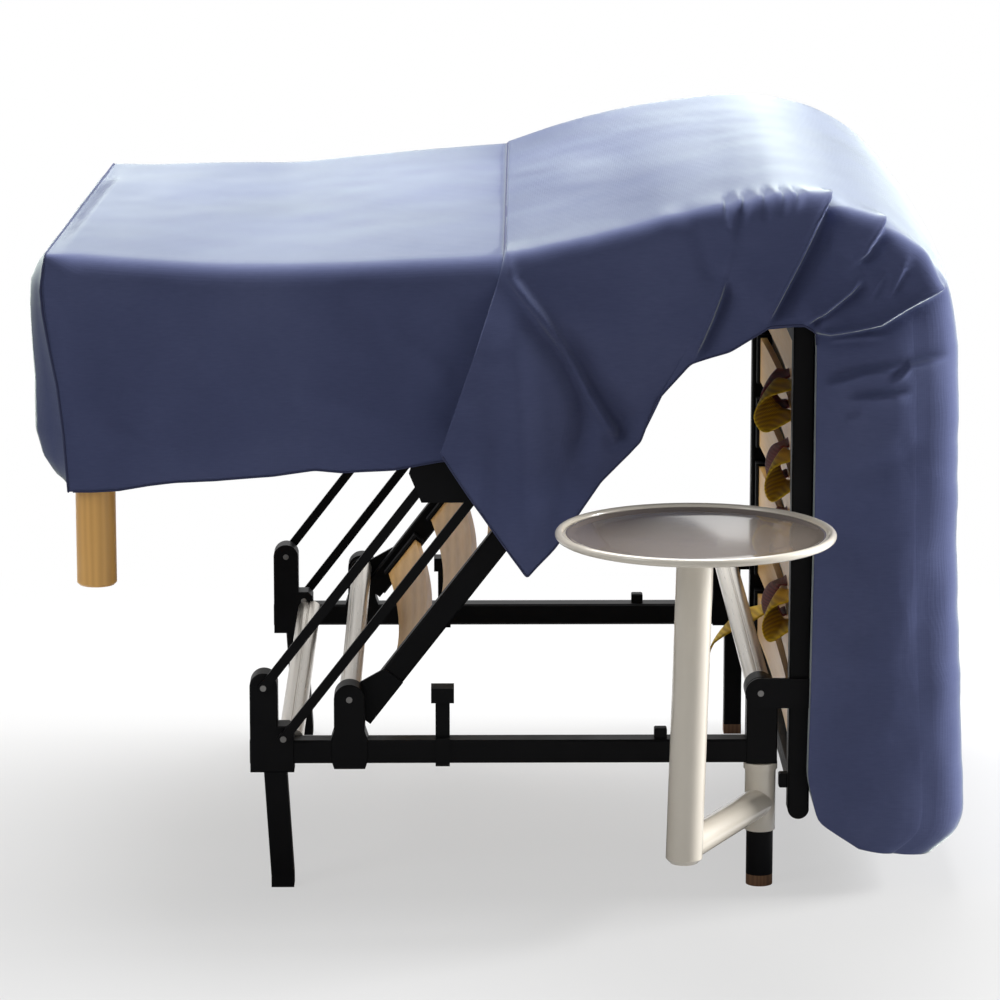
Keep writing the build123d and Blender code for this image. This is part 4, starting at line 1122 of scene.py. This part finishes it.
def laced_path(loops):
    """Places of a tape behind the slats that swings out through the gaps, by its loops' depth and twist.

    The places of a loop are x, share of the depth, height from the gap's middle and share of the twist.
    """
    path = [(SLAT_BACK, SLAT_Z[1] - FIRST_END, 0), (SLAT_BACK, SLAT_Z[1] + BEHIND_SLAT, 0)]
    for n, (depth, twist) in enumerate(loops):
        low, high = SLAT_Z[n + 1], SLAT_Z[n + 2]
        middle = (low + high) / 2
        path += [(x - depth * out, middle + up, twist * turned) for x, out, up, turned in LOOP_PLACES]
        path += [(SLAT_BACK, high - BELOW_SLAT, 0), (SLAT_BACK, high + BEHIND_SLAT, 0)]
    return path


YELLOW_LOOPS = [(20, 13), (26, -15), (19, 13), (32, 15)]
MAROON_LOOPS = [(14, -10), (18, 12), (12, -9), (22, 12)]
YELLOW_TAIL = [
    (SLAT_BACK, 296, 0), (SLAT_BACK, 262, 0), (378, 236, 2), (362, 224, 8), (338, 214, 14), (312, 196, 16),
    (302, 176, 10),
]

yellow_parts = [
    tape_along("yellow_laced", laced_path(YELLOW_LOOPS), -222, 30, yellow_tape),
    tape_along("yellow_tail", YELLOW_TAIL, 176, 24, yellow_tape),
]
yellow_strap = join_pieces(yellow_parts, "yellow_strap")
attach(yellow_strap, "back_panel")
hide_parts("yellow_webbing")

maroon_strap = tape_along("maroon_strap", laced_path(MAROON_LOOPS), -140, 26, maroon_tape)
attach(maroon_strap, "back_panel")
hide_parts("maroon_webbing")
print("straps:", yellow_strap.name, maroon_strap.name)

# %% [markdown]
# The tray is pressed from sheet steel and enamelled: a flat floor, a shallow slope up to the side, and a
# rolled rim. Anything round is quickest drawn as half a section and turned about its middle, as on a lathe.
# The rim is rounder than the CAD model's, so that it catches one thin line of light all the way round. The
# floor of the dish has a darker enamel that is painted shade: the hump's shadow and a painted reflection of
# the dark underside above it. So inside and rim have finishes of their own.

# %% Tray, turned on a lathe
TRAY_X, TRAY_Y, TRAY_BOTTOM = 234.0, -602.0, 495.0
TRAY_RADIUS, RIM, RIM_HEIGHT = 170.0, 5.0, 5.2
TRAY_TURNS, CUP_TURNS = 144, 72
RIM_FROM, RIM_TO, RIM_STEPS = math.radians(190), math.radians(-130), 18
DISH = [(0, 3), (60, 3), (120, 3), (144, 3), (149, 3.6), (153, 5.2), (157, 6.6)]
BELOW = [(158, 1.6), (153, 0.2), (144, 0), (60, 0), (0, 0)]
CUP = [(0, -5), (26, -5), (32, -4), (34, -2), (34, 0.2)]


def lathe(name, parts, turns):
    """Turn a profile about the tray's axis. Each part is a finish with its places, as radius and height."""
    profile = [place for _, places in parts for place in places]
    finish_of = [index for index, (_, places) in enumerate(parts) for _ in places]
    count = len(profile)
    verts = [
        plan(TRAY_X + r * math.cos(a), TRAY_Y + r * math.sin(a), TRAY_BOTTOM + z)
        for a in np.linspace(0, 2 * np.pi, turns, endpoint=False) for r, z in profile
    ]
    faces = []
    for i in range(turns):
        here, there = i * count, (i + 1) % turns * count
        faces += [(here + j, there + j, there + j + 1, here + j + 1) for j in range(count - 1)]
    mesh = bpy.data.meshes.new(name)
    mesh.from_pydata(verts, [], faces)
    for finish, _ in parts:
        mesh.materials.append(finish)
    for index, face in enumerate(mesh.polygons):
        face.material_index = finish_of[index % (count - 1) + 1]
    piece = put_in_scene(name, mesh)
    tidy_mesh(piece, merge=0.00001)
    return piece


roll = [
    (TRAY_RADIUS - RIM + RIM * math.cos(a), RIM_HEIGHT + RIM * math.sin(a))
    for a in np.linspace(RIM_FROM, RIM_TO, RIM_STEPS)
]
tray_top = lathe("tray_top", [(tray_painted_shade, DISH), (cream_coat, roll + BELOW)], TRAY_TURNS)
tray_cup = lathe("tray_cup", [(cream_coat, CUP)], CUP_TURNS)
for piece in (tray_top, tray_cup):
    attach(piece, "table")
    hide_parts("tray")
print("tray:", len(tray_top.data.polygons), "faces")

# %% [markdown]
# ## Stage and light
#
# The picture is a cut-out on white: the floor is a pale grey under the bed and fades to white behind it.
# The floor is a real surface that takes the shadow. Only what the camera sees of it is mixed with white glow:
# just over half of it near the bed, which is painted light that lightens the shadow there, rising to all of
# it with distance, from a quarter of a metre behind the middle to more than a metre and a half.

# %% Floor
bpy.context.scene.view_settings.view_transform = "Standard"

FLOOR_SIZE = 9.0
FADE_FROM, FADE_TO = 0.25, 1.6
# Share of white glow in the floor the camera sees near the bed: painted light that lightens its shadow.
NEAR_PAINTED_GLOW = 0.54
FLOOR_GREY = (0.5, 0.5, 0.5)
floor_mesh = bpy.data.meshes.new("floor")
corners = [(x * FLOOR_SIZE, y * FLOOR_SIZE, 0) for x, y in ((-1, -1), (1, -1), (1, 1), (-1, 1))]
floor_mesh.from_pydata(corners, [], [(0, 1, 2, 3)])
floor = put_in_scene("floor", floor_mesh)
floor_finish, floor_tree, floor_shader = new_finish("floor_paint", FLOOR_GREY, 0.9, Specular_IOR_Level=0.0)
floor_mesh.materials.append(floor_finish)

white = floor_tree.nodes.new("ShaderNodeEmission")
white.inputs["Color"].default_value = (1, 1, 1, 1)
white.inputs["Strength"].default_value = 1.0
place = floor_tree.nodes.new("ShaderNodeTexCoord")
apart = floor_tree.nodes.new("ShaderNodeSeparateXYZ")
floor_tree.links.new(place.outputs["Object"], apart.inputs["Vector"])
far = floor_tree.nodes.new("ShaderNodeMapRange")
far.interpolation_type = "SMOOTHSTEP"
far.inputs["From Min"].default_value = FADE_FROM
far.inputs["From Max"].default_value = FADE_TO
floor_tree.links.new(apart.outputs["Y"], far.inputs["Value"])
path_kind = floor_tree.nodes.new("ShaderNodeLightPath")
paler = spread(floor_tree, far.outputs["Result"], NEAR_PAINTED_GLOW, 1.0)
seen = blend_values(floor_tree, paler, path_kind.outputs["Is Camera Ray"], "MULTIPLY")
floor_mix = floor_tree.nodes.new("ShaderNodeMixShader")
floor_tree.links.new(seen, floor_mix.inputs["Fac"])
floor_tree.links.new(floor_shader.outputs["BSDF"], floor_mix.inputs[1])
floor_tree.links.new(white.outputs["Emission"], floor_mix.inputs[2])
floor_tree.links.new(floor_mix.outputs["Shader"], floor_tree.nodes["Material Output"].inputs["Surface"])
print("floor of", 2 * FLOOR_SIZE, "metres")

# %% [markdown]
# The world gives the soft light from all round. It is pure white for the camera, for mirrors and for
# glass, so that the background and the shine on steel are white, and dimmer for everything else.

# %% World
ROUND_LIGHT = 0.21
world = bpy.data.worlds.new("studio")
bpy.context.scene.world = world
world.use_nodes = True
world_tree = world.node_tree
backdrop = world_tree.nodes["Background"]
backdrop.inputs["Color"].default_value = (1, 1, 1, 1)
world_path = world_tree.nodes.new("ShaderNodeLightPath")
clear = world_path.outputs["Is Camera Ray"]
for ray in ("Is Glossy Ray", "Is Transmission Ray"):
    clear = blend_values(world_tree, clear, world_path.outputs[ray], "MAXIMUM")
strength = spread(world_tree, clear, ROUND_LIGHT, 1.0)
world_tree.links.new(strength, backdrop.inputs["Strength"])
print("world lights the bed at", ROUND_LIGHT)

# %% [markdown]
# The main light is one large soft lamp above and behind the bed, so the top glows and the sides that face us
# stay in shade. At more than two and a half metres wide it makes shadows whose edges melt away, as in the
# picture, where no leg throws a crisp line. A smaller one far to the right gives the hanging part and the
# table's post their lighter outer edges, and a weak one from the left front keeps the shade from going black.

# %% Lamps
def soft_lamp(name, where, aim, size, power):
    """A square soft lamp at a place, turned towards another."""
    light = bpy.data.lights.new(name, "AREA")
    light.shape = "SQUARE"
    light.size = size
    light.energy = power
    lamp = put_in_scene(name, light)
    lamp.location = where
    lamp.rotation_euler = (Vector(aim) - Vector(where)).to_track_quat("-Z", "Y").to_euler()
    return lamp


overhead = soft_lamp("overhead", (-0.2, 1.35, 3.0), (0, 0.1, 0.5), 2.6, 208)
side_lamp = soft_lamp("side_lamp", (3.0, 0.3, 1.3), (0.5, 0, 0.5), 1.2, 160)
fill = soft_lamp("fill", (-3.0, -2.6, 2.6), (0, 0, 0.5), 1.4, 22)
print("lamps:", overhead.name, side_lamp.name, fill.name)
